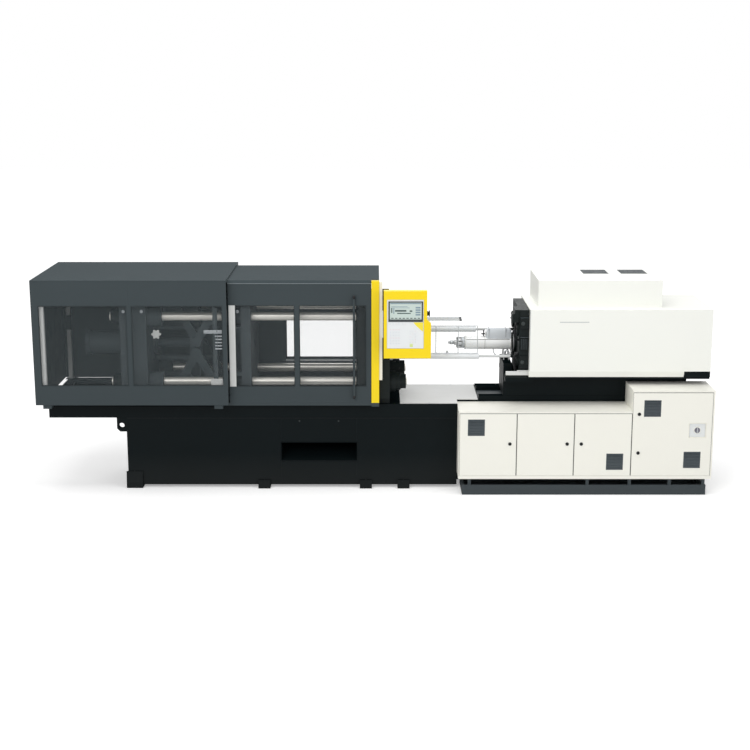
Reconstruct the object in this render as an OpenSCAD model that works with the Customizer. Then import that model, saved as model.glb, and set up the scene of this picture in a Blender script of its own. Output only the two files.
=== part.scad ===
/* [Clamp unit] */
// Height of the tie-bar and barrel centre line above the floor
axis_z = 1350; // [1330:5:1370]
// Height of the clamp bed's top face above the floor
bed_z = 832; // [826:2:838]
// Distance between tie-bar centres, both ways
bar_pitch = 630; // [624:2:640]
// Radius of a tie bar
bar_r = 40; // [36:1:42]
// X of the fixed platen's mould face
mould_face_x = -178; // [-190:2:-170]
// Thickness of the fixed platen along the bars
fixed_t = 378; // [360:2:390]
// Clear distance between the platens with the clamp open
daylight = 993; // [960:1:1010]
// Height and width of the square platens
platen_size = 910; // [900:2:930]
// Length of each toggle link between its pins
link_len = 400; // [380:2:404]
// Angle of the folded links from straight
fold_deg = 60; // [55:1:60]
// Height of the link pivots above and below the centre line
pivot_rise = 400; // [396:1:404]
// Radius of the toggle pins
pin_r = 38; // [34:1:40]
// Running clearance of pins and shafts, radial
run_gap = 0.05; // [0.03:0.01:0.08]
// Working clearance between sliding or passing pieces
pass_gap = 0.4; // [0.3:0.05:0.6]
// Distance from a rear pivot to the cross-link pin
cross_len = 165; // [155:1:170]
// Ejector plate travel
eject_travel = 100; // [80:5:104]

/* [Guards] */
// X of the left end of the rear guard
guard_left_x = -3186; // [-3200:2:-3170]
// X of the joint between the rear guard and the sliding gates
guard_joint_x = -1376; // [-1384:1:-1370]
// Half width of the rear guard
guard_half = 615; // [600:1:620]
// Bottom edge of the guards above the floor
guard_z0 = 869; // [866:1:876]
// Top of the rear guard above the floor
guard_z1 = 2052; // [2044:2:2060]
// Depth of the guard walls' folded edges
guard_wall = 25; // [18:1:28]
// Half width over the sliding gates
gate_half = 515; // [512:1:520]
// Depth of a gate's frame
gate_t = 35; // [28:1:38]
// Top of the roof over the gates
roof_z = 2036; // [2030:1:2042]
// Thickness of the folded roof
roof_t = 26; // [20:1:28]
// Height of the gates' window sill
sill_z = 1026; // [1010:2:1050]
// Height of the gates' window head
head_z = 1804; // [1780:2:1820]
// Thickness of the window panes
pane_t = 6; // [4:1:10]
// Width of the column beside the gate
column_w = 72; // [60:1:80]

/* [Operator panel] */
// Left side of the panel housing
panel_x0 = 81; // [78:1:86]
// Width of the panel housing's upper part
panel_w = 401; // [390:1:405]
// Extra width of the panel's lower part
panel_step = 38; // [30:1:45]
// Bottom of the panel housing
panel_z0 = 1325; // [1310:1:1340]
// Height of the panel housing
panel_h = 633; // [620:1:640]
// Depth of the panel housing
panel_t = 80; // [60:1:84]
// Travel of the stop button
stop_travel = 6; // [4:0.5:8]

/* [Bed] */
// Half width of the clamp bed
bed_half = 400; // [390:1:404]
// Left end of the bed body
bed_left_x = -2380; // [-2400:2:-2360]
// How far the bed's rails reach past its left end
bed_overhang = 733; // [700:1:745]
// X where the injection bed joins the clamp bed
bed_joint_x = 788; // [780:1:796]
// Depth of the bed's upper rail
rail_h = 134; // [120:1:140]
// Gap under the bed at its feet
foot_h = 30; // [20:1:40]

/* [Injection unit] */
// Front of the injection cover, next to the housing
cover_x0 = 1463; // [1455:1:1470]
// Right end of the machine
right_x = 3186; // [3180:1:3192]
// Front half width of the injection cover
cover_front = 405; // [395:1:410]
// Rear half width of the injection cover
cover_rear = 470; // [450:1:480]
// Bottom of the injection cover
cover_z0 = 1091; // [1085:1:1096]
// Top of the injection cover
cover_z1 = 1740; // [1730:1:1750]
// Thickness of the injection cover's sheet
cover_wall = 10; // [4:1:14]
// Top of the raised box on the cover
box_z1 = 1998; // [1980:1:2010]
// Tip of the nozzle
nozzle_x = 712; // [700:1:720]
// Outer radius of the heated barrel
barrel_r = 48; // [44:1:50]
// Radius of the screw
screw_r = 25; // [20:1:27]
// Outer radius of the barrel's heat cover
shield_r = 65; // [60:1:70]
// Travel of the injection carriage
carriage_travel = 350; // [300:5:355]
// Stroke of the screw
screw_stroke = 250; // [200:5:255]

/* [Cabinet] */
// Front face of the cabinet doors, distance from the centre plane
cabinet_front = 650; // [646:1:654]
// Back of the cabinet, distance from the centre plane
cabinet_back = 232; // [232:1:240]
// Bottom of the cabinet
cabinet_z0 = 159; // [150:1:165]
// Top of the cabinet's low part
cabinet_z1 = 814; // [808:1:820]
// Top of the cabinet's high part
cabinet_z2 = 1016; // [1000:1:1024]
// Door thickness
door_t = 23; // [18:1:26]
// Width of each low door bay
bay_w = 541; // [536:1:542]
// Side of the square vents
vent_w = 160; // [140:1:170]
// Height of the plinth
plinth_h = 96; // [80:1:110]

/* [Hidden] */
$fn = 48;

// Colours of the finishes
guard_grey = [0.27, 0.30, 0.31];
bed_black = [0.09, 0.11, 0.12];
cream = [0.93, 0.93, 0.90];
yellow = [0.95, 0.83, 0.10];
steel = [0.75, 0.76, 0.77];
cast_grey = [0.20, 0.22, 0.23];

// Clamp unit places
half_pitch = bar_pitch / 2;
half_platen = platen_size / 2;
fixed_back_x = mould_face_x + fixed_t;
moving_face_x = mould_face_x - daylight;
mould_plate_t = 90;
moving_t = 229;
moving_back_x = moving_face_x - moving_t;
lug_reach = 108;
lug_r = 62;
link_r = 48;
front_pivot_x = moving_back_x - lug_reach;
pivot_gap = 2 * link_len * cos(fold_deg);
rear_pivot_x = front_pivot_x - pivot_gap;
knee_x = rear_pivot_x + pivot_gap / 2;
knee_drop = link_len * sin(fold_deg);
tail_face_x = rear_pivot_x - lug_reach;
tail_boss = 134;
tail_t = 384;
tail_plate_x = tail_face_x - tail_boss;
tail_back_x = tail_face_x - tail_t;
nut_t = 95;
nut_r = 85;
bar_end = 16;
boss_r = 92;

// Widthwise planes of the links: cross links inside, rear links, then front links
cross_y0 = 100;
cross_y1 = 145;
inner_y0 = 150;
inner_y1 = 205;
outer_y0 = 210;
outer_y1 = 265;
head_half = cross_y0 - 8;
cross_r = 34;
cross_pin_r = 22;
cross_drop = cross_len * sin(fold_deg);
cross_x = rear_pivot_x + cross_len * cos(fold_deg);
head_x = rear_pivot_x + 2 * cross_len * cos(fold_deg);
head_stroke = 2 * cross_len * (1 - cos(fold_deg));
rod_r = 45;
guide_r = 24;
guide_rise = 150;
cylinder_r = 112;
cylinder_len = 400;

// Moving platen details
bush_r = 80;
ejector_half_y = 120;
ejector_half_z = 190;
ejector_pin_r = 18;
ejector_pin_y = 70;
ejector_pin_z = 140;
clamp_hole_r = 10;
clamp_hole_y = 210;
clamp_hole_z = 280;
clamp_hole_depth = 42;
shoe_w = 80;
ring_r = 80;

// Bed places
base_right_x = 3090;
chute_x0 = -900;
chute_x1 = -175;
chute_z0 = 264;
chute_z1 = 449;
chute_half = 290;
rail_proud = 12;
bed_rail_y0 = 150;
bed_rail_y1 = 228;
bed_rail_h = 38;
deck_t = 6;
deck_x0 = 240;
deck_x1 = 1000;

// Gate places
track_h = 26;
gate_z0 = guard_z0 + pass_gap;
gate_z1 = roof_z - roof_t - pass_gap;
gate_x0 = guard_joint_x + 4;
column_x0 = -33;
column_x1 = column_x0 + column_w;
column_y = half_platen + 5;
gate_x1 = column_x0 - 4;
post_w = 59;
stile_w = 43;
mullion_w = 42;
mullion_x = -731;
handle_r = 11;
handle_out = 30;
handle_x = -196;
strip_w = 30;

// Cabinet places
door_gap = 4;
bay_x0 = bed_joint_x + 6;
high_x = bay_x0 + 3 * bay_w;
cabinet_wall = 20;
door_z0 = cabinet_z0 + 34;
lid_t = 14;
door_edge = 17;
lock_r = 16;
lock_proud = 5;

// Injection places
housing_x0 = 1370;
barrel_x0 = 806;
carriage_z0 = bed_z + bed_rail_h + pass_gap;
carriage_z1 = cover_z0 - 20;
carriage_x0 = 1235;
carriage_x1 = 3000;
carriage_half = 225;
ram_y = 230;
ram_r = 80;
ram_rod_r = 35;
ram_x1 = 2000;
thrust_x = 2300;
pull_r = 28;
pull_rod_r = 14;
pull_y = 230;
pull_drop = 88;
pull_x1 = 996;

// A box between two corners
module block(x0, x1, y0, y1, z0, z1) {
    translate([x0, y0, z0]) cube([x1 - x0, y1 - y0, z1 - z0]);
}

// A round bar along X
module bar_x(x0, x1, y, z, r) {
    translate([x0, y, z]) rotate([0, 90, 0]) cylinder(h = x1 - x0, r = r);
}

// A round bar along Y
module bar_y(x, y0, y1, z, r) {
    translate([x, y0, z]) rotate([-90, 0, 0]) cylinder(h = y1 - y0, r = r);
}

// A round bar along Z
module bar_z(x, y, z0, z1, r) {
    translate([x, y, z0]) cylinder(h = z1 - z0, r = r);
}

// The four tie-bar places
module at_bars() {
    for (sy = [-1, 1], sz = [-1, 1])
        translate([0, sy * half_pitch, axis_z + sz * half_pitch]) children();
}

// The same piece on both sides of the centre plane
module both_sides() {
    children();
    mirror([0, 1, 0]) children();
}

// The clamp bed. Its sections stand a weld gap apart: two closed boxes, between them the
// parts chute that slopes out of the front, and on top two long rails with cross members
weld_gap = 0.2;
module clamp_base() color(bed_black) {
    box_top = bed_z - rail_h - weld_gap;
    rail_x0 = bed_left_x - bed_overhang;
    slope_z = chute_z0 + 230;
    block(bed_left_x, chute_x0, -bed_half, bed_half, foot_h, box_top);
    block(chute_x1, bed_joint_x, -bed_half, bed_half, foot_h, box_top);
    translate([chute_x0 + weld_gap, 0, 0]) rotate([90, 0, 90])
        linear_extrude(chute_x1 - chute_x0 - 2 * weld_gap) polygon([
            [-bed_half, foot_h], [bed_half, foot_h], [bed_half, slope_z],
            [chute_half, slope_z], [-bed_half, chute_z0 + 7]]);
    block(chute_x0 + weld_gap, chute_x1 - weld_gap, chute_half, bed_half,
        slope_z + weld_gap, box_top);
    block(chute_x0 + weld_gap, chute_x1 - weld_gap, -bed_half, -chute_half,
        chute_z1, box_top);
    for (s = [-1, 1])
        block(rail_x0, bed_joint_x, s > 0 ? chute_half : -bed_half - rail_proud,
            s > 0 ? bed_half + rail_proud : -chute_half, bed_z - rail_h, bed_z);
    for (x = [[rail_x0, rail_x0 + 110], [bed_left_x - 30, chute_x0], [chute_x1, bed_joint_x]])
        block(x[0], x[1], weld_gap - chute_half, chute_half - weld_gap, bed_z - rail_h, bed_z);
}

// The injection unit's bed with its two raised ways and rear lip
module injection_base() color(bed_black) union() {
    block(bed_joint_x, base_right_x, -cabinet_back, bed_half, foot_h, bed_z);
    for (s = [-1, 1])
        block(deck_x1 + 2, base_right_x, s > 0 ? bed_rail_y0 : -bed_rail_y1,
            s > 0 ? bed_rail_y1 : -bed_rail_y0, bed_z, bed_z + bed_rail_h);
    block(deck_x1 + 2, base_right_x, bed_half - 60, bed_half, bed_z, bed_z + 16);
}

// Light plates that cover the bed between the two units and between the ways
module deck_plates() color(steel) {
    translate([0, 0, bed_z]) linear_extrude(deck_t) polygon([
        [deck_x0, -bed_half], [bed_joint_x, -bed_half],
        [bed_joint_x, -cabinet_back], [deck_x1, -cabinet_back],
        [deck_x1, bed_half], [deck_x0, bed_half]]);
    block(deck_x1 + 4, base_right_x - 40, -bed_rail_y0 + 6, bed_rail_y0 - 6,
        bed_z, bed_z + deck_t);
}

// One foot: a pad under the bed's edge with an upstand outside it
module foot(x, w, up, reach) {
    translate([x - w / 2, 0, 0]) rotate([90, 0, 90]) linear_extrude(w) polygon([
        [-bed_half - reach, 0], [-bed_half + 110, 0], [-bed_half + 110, foot_h],
        [-bed_half, foot_h], [-bed_half, up], [-bed_half - reach * 0.4, up],
        [-bed_half - reach, up * 0.35]]);
}

foot_x = [bed_joint_x - 1855, bed_joint_x - 876, bed_joint_x - 513];
foot_w = 116;
base_foot_x = [bed_joint_x + 512, bed_joint_x + 1412, bed_joint_x + 2212];
base_foot_w = 120;
module levelling_feet() color(bed_black) {
    both_sides() {
        foot(bed_left_x + 62, 156, 164, 24);
        for (x = foot_x) foot(x, foot_w, 78, 40);
    }
    for (x = base_foot_x, y = [-150, bed_half - 70])
        block(x - base_foot_w / 2, x + base_foot_w / 2, y - base_foot_w / 2,
            y + base_foot_w / 2, 0, foot_h);
}

// Plates with the crane holes, welded under the rails and at the right end
lug_w = 92;
lug_h = 140;
lug_t = 40;
module lug_plate(x, dir, y) {
    z0 = bed_z - rail_h - lug_h;
    difference() {
        translate([x, y + lug_t, z0]) rotate([90, 0, 0]) linear_extrude(lug_t)
            polygon([[0, 0], [dir * (lug_w - 30), 0], [dir * lug_w, 30],
                [dir * lug_w, lug_h], [0, lug_h]]);
        bar_y(x + dir * lug_w / 2, y - 1, y + lug_t + 1, z0 + 60, 26);
    }
}

module lifting_lugs() color(bed_black) {
    for (y = [-bed_half, bed_half - lug_t]) lug_plate(bed_left_x, -1, y);
    for (y = [-cabinet_back + 2, bed_half - lug_t]) lug_plate(base_right_x, 1, y);
}

// Front wall openings of the rear guard, left and right pane
function pane_left() = [guard_left_x + 64, -2302];
function pane_right() = [-2263, guard_joint_x - 38];
pane_z0 = guard_z0 + 185;
pane_z1 = guard_z1 - 236;

module rear_guard() color(guard_grey) difference() {
    block(guard_left_x, guard_joint_x, -guard_half, guard_half, guard_z0, guard_z1);
    block(guard_left_x + guard_wall, guard_joint_x + 1, -guard_half + guard_wall,
        guard_half - guard_wall, guard_z0 - 1, guard_z1 - guard_wall);
    for (p = [pane_left(), pane_right()])
        block(p[0], p[1], -guard_half - 1, -guard_half + guard_wall + 1, pane_z0, pane_z1);
}

module rear_guard_panes() color([0.2, 0.23, 0.24, 0.5])
    for (p = [pane_left(), pane_right()])
        block(p[0], p[1], -guard_half + 8, -guard_half + 8 + pane_t, pane_z0, pane_z1);

// Light posts inside the corners of the rear guard, standing on the cross beams
beam_x0 = guard_left_x + 66;
beam_w = 80;
post_y = guard_half - guard_wall - 46;
module guard_posts() color(steel) both_sides()
    for (x = [beam_x0, guard_joint_x - 134]) {
        block(x, x + 40, post_y, post_y + 40, guard_z0, guard_z1 - guard_wall);
        block(x - 12, x + 52, post_y - 10, post_y + 44, guard_z0, guard_z0 + 8);
    }

// Cross beams, gate tracks, rear column and the roof over the gates
module guard_frame() color(guard_grey) difference() {
    union() {
        for (x = [beam_x0, guard_joint_x - 134])
            block(x, x + beam_w, -guard_half + 10, guard_half - 10, bed_z, guard_z0);
        both_sides() block(column_x0, column_x1, bed_half - 12, gate_half, bed_z, guard_z0);
        both_sides() block(beam_x0, column_x1, gate_half - gate_t, gate_half,
            guard_z0 - track_h, guard_z0);
        block(column_x0, column_x1, column_y, gate_half, guard_z0, roof_z - roof_t);
        difference() {
            translate([guard_joint_x, 0, 0]) rotate([90, 0, 90])
                linear_extrude(column_x1 - guard_joint_x) polygon([
                    [-gate_half, roof_z - roof_t], [-gate_half + 25, roof_z],
                    [gate_half - 25, roof_z], [gate_half, roof_z - roof_t]]);
            block(guard_joint_x + 30, column_x0 - 30, -gate_half + 60, gate_half - 60,
                roof_z - roof_t - 1, roof_z - 6);
        }
    }
    block(column_x0, column_x1 + 1, -gate_half - 1, -column_y,
        roof_z - roof_t - 1, roof_z + 1);
}

// Column beside the front gate, with the light cover strip on its right
module front_column() {
    color(yellow) block(column_x0, column_x1, -gate_half, -column_y,
        guard_z0, roof_z - 4);
    color(cream) block(column_x1, column_x1 + strip_w, -gate_half + 10, -column_y,
        guard_z0 + 218, roof_z - 15);
}

// The upright ears that carry toggle pins, on one platen
module pivot_ears(x, back_x, y0, y1, z) {
    lo = min(x, back_x);
    hi = max(x, back_x);
    block(lo, hi, y0, y1, z - lug_r, z + lug_r);
    bar_y(x, y0, y1, z, lug_r);
}

// The pins that stand out of the ears, through both link planes
module pivot_stubs(x) {
    for (s = [-1, 1]) bar_y(x, inner_y0, outer_y1, axis_z + s * pivot_rise, pin_r);
}

// Casting at the left end that the toggle pushes against
module tail_platen() color(cast_grey) difference() {
    union() {
        block(tail_back_x, tail_plate_x, -half_platen, half_platen,
            axis_z - half_platen, axis_z + half_platen);
        at_bars() bar_x(tail_plate_x - 10, tail_face_x, 0, 0, boss_r);
        both_sides() {
            for (s = [-1, 1]) pivot_ears(rear_pivot_x, tail_plate_x - 10, outer_y0, outer_y1,
                axis_z + s * pivot_rise);
            pivot_stubs(rear_pivot_x);
            block(tail_back_x, tail_plate_x, 250, 330, bed_z, axis_z - half_platen + 1);
        }
        bar_x(tail_plate_x - 10, tail_plate_x + 40, 0, axis_z, 110);
    }
    at_bars() bar_x(tail_back_x - 1, tail_face_x + 1, 0, 0, bar_r + pass_gap);
    bar_x(tail_back_x - 1, tail_plate_x + 41, 0, axis_z, rod_r + 6);
    // Cored pockets in the back of the casting
    for (sy = [-1, 1], sz = [-1, 0, 1])
        if (sz == 0) block(tail_back_x - 1, tail_back_x + 120, sy > 0 ? 190 : -half_platen + 45,
            sy > 0 ? half_platen - 45 : -190, axis_z - 170, axis_z + 170);
        else block(tail_back_x - 1, tail_back_x + 120, sy > 0 ? 20 : -190,
            sy > 0 ? 190 : -20, axis_z + (sz > 0 ? 190 : -half_platen + 45),
            axis_z + (sz > 0 ? half_platen - 45 : -190));
}

// Casting that carries the fixed half of the mould
module fixed_platen() color(cast_grey) difference() {
    union() {
        block(mould_face_x, fixed_back_x - 60, -half_platen, half_platen,
            axis_z - half_platen, axis_z + half_platen);
        at_bars() bar_x(fixed_back_x - 61, fixed_back_x, 0, 0, boss_r + 8);
        bar_x(fixed_back_x - 61, fixed_back_x, 0, axis_z, 190);
        both_sides() block(mould_face_x + 20, fixed_back_x - 60, 250, bed_half - 20, bed_z,
            axis_z - half_platen + 1);
    }
    at_bars() bar_x(mould_face_x - 1, fixed_back_x + 1, 0, 0, bar_r + pass_gap);
    // The mould's locating ring sits in this bore, and the nozzle comes through it
    bar_x(mould_face_x - 1, fixed_back_x + 1, 0, axis_z, ring_r);
    for (y = [-1, 1], z = [-1, 1])
        bar_x(mould_face_x - 1, mould_face_x + clamp_hole_depth, y * clamp_hole_y,
            axis_z + z * clamp_hole_z, clamp_hole_r);
    // Cored windows between the platen's outer ribs
    for (s = [-1, 1]) {
        block(fixed_back_x - 200, fixed_back_x + 1, s > 0 ? 285 : -half_platen + 40,
            s > 0 ? half_platen - 40 : -285, axis_z - 190, axis_z + 190);
        block(fixed_back_x - 200, fixed_back_x + 1, -190, 190,
            axis_z + (s > 0 ? 225 : -half_platen + 40), axis_z + (s > 0 ? half_platen - 40 : -225));
    }
}

module tie_bars() color(steel) at_bars()
    bar_x(tail_back_x - nut_t - bar_end, fixed_back_x + nut_t + bar_end - 5, 0, 0, bar_r);

// One nut: a round flange and a narrower collar
module bar_nut(x, dir) {
    lo = dir > 0 ? x : x - nut_t;
    difference() {
        union() {
            bar_x(dir > 0 ? lo : lo + nut_t - 40, dir > 0 ? lo + 40 : lo + nut_t, 0, 0, nut_r);
            bar_x(lo, lo + nut_t, 0, 0, nut_r - 15);
        }
        bar_x(lo - 1, lo + nut_t + 1, 0, 0, bar_r + 0.2);
    }
}

module tie_bar_nuts() color(cast_grey) at_bars() {
    bar_nut(tail_back_x, -1);
    bar_nut(fixed_back_x, 1);
}

// Cylinder behind the tail platen, and the two rods that guide the crosshead
module clamp_cylinder() color(cast_grey) {
    difference() {
        union() {
            bar_x(tail_back_x - cylinder_len, tail_back_x, 0, axis_z, cylinder_r);
            bar_x(tail_back_x - 40, tail_back_x, 0, axis_z, cylinder_r + 44);
            bar_x(tail_back_x - cylinder_len, tail_back_x - cylinder_len + 40, 0, axis_z,
                cylinder_r + 14);
        }
        bar_x(tail_back_x - cylinder_len + 45, tail_back_x + 1, 0, axis_z, rod_r + pass_gap);
    }
    for (s = [-1, 1])
        bar_x(tail_plate_x, front_pivot_x - 10, 0, axis_z + s * guide_rise, guide_r);
}

// One link: a round boss at each pin and a web between them, a little thinner than the bosses
web_step = 3;
module link_plate(x0, z0, x1, z1, y0, y1, r) {
    dx = x1 - x0;
    dz = z1 - z0;
    len = sqrt(dx * dx + dz * dz);
    bar_y(x0, y0, y1, z0, r);
    bar_y(x1, y0, y1, z1, r);
    translate([x0, y0 + web_step, z0]) rotate([0, -atan2(dz, dx), 0])
        translate([r * 0.5, 0, -r * 0.8]) cube([len - r, y1 - y0 - 2 * web_step, r * 1.6]);
}

// Rear links: s is 1 for the upper pair and -1 for the lower pair
module rear_link(s) color(cast_grey) both_sides() difference() {
    pz = axis_z + s * pivot_rise;
    kz = pz - s * knee_drop;
    union() {
        link_plate(rear_pivot_x, pz, knee_x, kz, inner_y0, inner_y1, link_r);
        bar_y(knee_x, inner_y1 - 5, outer_y1, kz, pin_r);
        bar_y(cross_x, cross_y0, inner_y0 + 5, pz - s * cross_drop, cross_pin_r);
    }
    bar_y(rear_pivot_x, inner_y0 - 1, inner_y1 + 1, pz, pin_r + run_gap);
}

module front_link(s) color(cast_grey) both_sides() difference() {
    pz = axis_z + s * pivot_rise;
    kz = pz - s * knee_drop;
    link_plate(knee_x, kz, front_pivot_x, pz, outer_y0, outer_y1, link_r);
    bar_y(knee_x, outer_y0 - 1, outer_y1 + 1, kz, pin_r + run_gap);
    bar_y(front_pivot_x, outer_y0 - 1, outer_y1 + 1, pz, pin_r + run_gap);
}

module cross_link(s) color(cast_grey) both_sides() difference() {
    pz = axis_z + s * pivot_rise;
    az = pz - s * cross_drop;
    link_plate(cross_x, az, head_x, pz, cross_y0, cross_y1, cross_r);
    bar_y(cross_x, cross_y0 - 1, cross_y1 + 1, az, cross_pin_r + run_gap);
    bar_y(head_x, cross_y0 - 1, cross_y1 + 1, pz, cross_pin_r + run_gap);
}

module upper_rear_link() rear_link(1);
module lower_rear_link() rear_link(-1);
module upper_front_link() front_link(1);
module lower_front_link() front_link(-1);
module upper_cross_link() cross_link(1);
module lower_cross_link() cross_link(-1);

// The crosshead, its pins and the cylinder rod
module crosshead() color(cast_grey) difference() {
    union() {
        block(head_x - 50, head_x + 50, -head_half, head_half, axis_z - pivot_rise + 60,
            axis_z + pivot_rise - 60);
        for (s = [-1, 1]) {
            block(head_x - 34, head_x + 34, -head_half, head_half,
                axis_z + (s > 0 ? pivot_rise - 61 : -pivot_rise),
                axis_z + (s > 0 ? pivot_rise : -pivot_rise + 61));
            bar_y(head_x, -head_half, head_half, axis_z + s * pivot_rise, 34);
            bar_y(head_x, -cross_y1, cross_y1, axis_z + s * pivot_rise, cross_pin_r);
        }
        bar_x(tail_back_x - cylinder_len + head_stroke - 60, head_x, 0, axis_z, rod_r);
    }
    for (s = [-1, 1])
        bar_x(head_x - 51, head_x + 51, 0, axis_z + s * guide_rise, guide_r + pass_gap);
}

// Casting that slides on the tie bars and carries the moving half of the mould
module moving_platen() color(cast_grey) difference() {
    union() {
        block(moving_face_x - mould_plate_t, moving_face_x, -half_platen, half_platen,
            axis_z - half_platen, axis_z + half_platen);
        at_bars() bar_x(moving_back_x, moving_face_x - mould_plate_t + 1, 0, 0, bush_r + 10);
        both_sides() {
            block(moving_back_x, moving_face_x - mould_plate_t + 1, inner_y0, inner_y1,
                axis_z - half_platen, axis_z + half_platen);
            for (s = [-1, 1]) pivot_ears(front_pivot_x, moving_back_x + 10, inner_y0, inner_y1,
                axis_z + s * pivot_rise);
            pivot_stubs(front_pivot_x);
            block(moving_back_x, moving_face_x, 262, 262 + shoe_w, bed_z + pass_gap,
                axis_z - half_platen + 1);
        }
        for (s = [-1, 1]) block(moving_back_x + 20, moving_face_x - mould_plate_t + 1,
            -half_platen, half_platen, axis_z + s * 215 - 20, axis_z + s * 215 + 20);
    }
    at_bars() bar_x(moving_back_x - 1, moving_face_x + 1, 0, 0, bar_r + pass_gap);
    bar_x(moving_face_x - mould_plate_t - 1, moving_face_x + 1, 0, axis_z, 40);
    for (y = [-1, 1], z = [-1, 1]) {
        bar_x(moving_face_x - mould_plate_t - 1, moving_face_x + 1, y * ejector_pin_y,
            axis_z + z * ejector_pin_z, ejector_pin_r + pass_gap);
        bar_x(moving_face_x - clamp_hole_depth, moving_face_x + 1, y * clamp_hole_y,
            axis_z + z * clamp_hole_z, clamp_hole_r);
    }
}

module ejector() color(steel) {
    plate_x = moving_back_x + 5;
    block(plate_x, plate_x + 25, -ejector_half_y, ejector_half_y,
        axis_z - ejector_half_z, axis_z + ejector_half_z);
    for (y = [-1, 1], z = [-1, 1])
        bar_x(plate_x + 25, moving_face_x - 9, y * ejector_pin_y, axis_z + z * ejector_pin_z,
            ejector_pin_r);
}

// A sliding gate's frame: s is -1 for the front gate and 1 for the rear gate
gate_y0 = gate_half - gate_t;
module gate_frame(s, openings) {
    lo = s < 0 ? -gate_half : gate_y0;
    hi = s < 0 ? -gate_y0 : gate_half;
    difference() {
        block(gate_x0, gate_x1, lo, hi, gate_z0, gate_z1);
        for (o = openings) block(o[0], o[1], lo - 1, hi + 1, o[2], o[3]);
    }
    // The long bar handle on two stand-offs
    out = s * (gate_half + handle_out);
    bar_z(handle_x, out, guard_z0 + 47, roof_z - 137, handle_r);
    for (z = [guard_z0 + 90, roof_z - 180])
        bar_y(handle_x, s < 0 ? out : gate_half, s < 0 ? -gate_half : out, z, handle_r - 2);
}

gate_left = [gate_x0 + 6, mullion_x - mullion_w / 2, sill_z, head_z];
gate_right = [mullion_x + mullion_w / 2, gate_x1 - stile_w, sill_z, head_z];
back_window = [-900, -182, sill_z + 67, sill_z + 498];

module front_gate() color(guard_grey) gate_frame(-1, [gate_left, gate_right]);
module rear_gate() color(guard_grey) gate_frame(1, [back_window]);

module front_gate_panes() color([0.2, 0.23, 0.24, 0.5]) {
    block(gate_left[0] + post_w, gate_left[1], -gate_half + 12, -gate_half + 12 + pane_t,
        sill_z, head_z);
    block(gate_right[0], gate_right[1], -gate_half + 12, -gate_half + 12 + pane_t,
        sill_z, head_z);
}

module gate_post() color(steel) difference() {
    block(gate_left[0], gate_left[0] + post_w, -gate_half + 4, -gate_y0 - 4, sill_z, head_z);
    block(gate_left[0] + 18, gate_left[0] + post_w - 18, -gate_half + 3, -gate_half + 8,
        sill_z + 30, head_z - 30);
}

module rear_gate_pane() color([0.75, 0.8, 0.82, 0.4])
    block(back_window[0], back_window[1], gate_y0 + 12, gate_y0 + 12 + pane_t,
        back_window[2], back_window[3]);

// Operator panel
panel_y1 = -560;
panel_y0 = panel_y1 - panel_t;
panel_x1 = panel_x0 + panel_w;
step_z = panel_z0 + panel_h - 288;
face_x0 = panel_x0 + 31;
face_x1 = panel_x0 + 369;
face_z0 = panel_z0 + 96;
face_z1 = panel_z0 + panel_h - 82;
screen_z0 = step_z;
screen_z1 = step_z + 192;
button_z = step_z + 72;
button_y = panel_y0 + 40;

module panel_housing() color(yellow) difference() {
    translate([0, panel_y1, 0]) rotate([90, 0, 0]) linear_extrude(panel_t) polygon([
        [panel_x0, panel_z0], [panel_x1 + panel_step, panel_z0],
        [panel_x1 + panel_step, step_z - 20], [panel_x1, step_z + 18],
        [panel_x1, panel_z0 + panel_h], [panel_x0, panel_z0 + panel_h]]);
    block(face_x0, face_x1, panel_y0 - 1, panel_y0 + 3, face_z0, face_z1);
    block(face_x0 + 12, face_x1 - 6, panel_y0 - 1, panel_y0 + 14, screen_z0, screen_z1);
    bar_x(panel_x1 - 22, panel_x1 + 1, button_y, button_z, 14 + pass_gap);
}

module keypad() color(cream) difference() {
    block(face_x0, face_x1, panel_y0 + 1, panel_y0 + 3, face_z0, face_z1);
    block(face_x0 + 12, face_x1 - 6, panel_y0 - 1, panel_y0 + 4, screen_z0, screen_z1);
}

module screen() color([0.35, 0.37, 0.38]) difference() {
    block(face_x0 + 12, face_x1 - 6, panel_y0 - 2, panel_y0 + 14, screen_z0, screen_z1);
    block(face_x0 + 24, face_x1 - 18, panel_y0 - 3, panel_y0 + 3, screen_z0 + 22, screen_z1 - 10);
}

module stop_button() color([0.08, 0.08, 0.09]) {
    bar_x(panel_x1 - 12, panel_x1 + 9, button_y, button_z, 14);
    bar_x(panel_x1 + 8, panel_x1 + 24, button_y, button_z, 20);
}

module brackets() color(cast_grey) {
    bracket_x0 = column_x1 + strip_w;
    block(bracket_x0, bracket_x0 + 60, panel_y1, -column_y, panel_z0 + 180,
        panel_z0 + 420);
    block(bracket_x0 + 50, bracket_x0 + 250, panel_y1, panel_y1 + 12, panel_z0 + 200,
        panel_z0 + 400);
    // Hinge rail of the purge guard, bolted to the back of the fixed platen
    block(fixed_back_x - 60, 851, purge_half - 15, purge_half + 25, purge_z1 - 36,
        purge_z1 - pass_gap);
}

// Guard over the nozzle: a bent clear sheet hinged at its top rear edge
purge_z1 = axis_z + 206;
purge_z0 = axis_z - 58;
purge_x0 = 316;
purge_x1 = 985;
purge_half = 250;
module purge_guard() color([0.8, 0.85, 0.88, 0.35]) union() {
    block(purge_x0, purge_x1, -purge_half, purge_half, purge_z1, purge_z1 + 6);
    block(purge_x0, purge_x1, -purge_half, -purge_half + 6, purge_z0, purge_z1 + 1);
}

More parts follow.
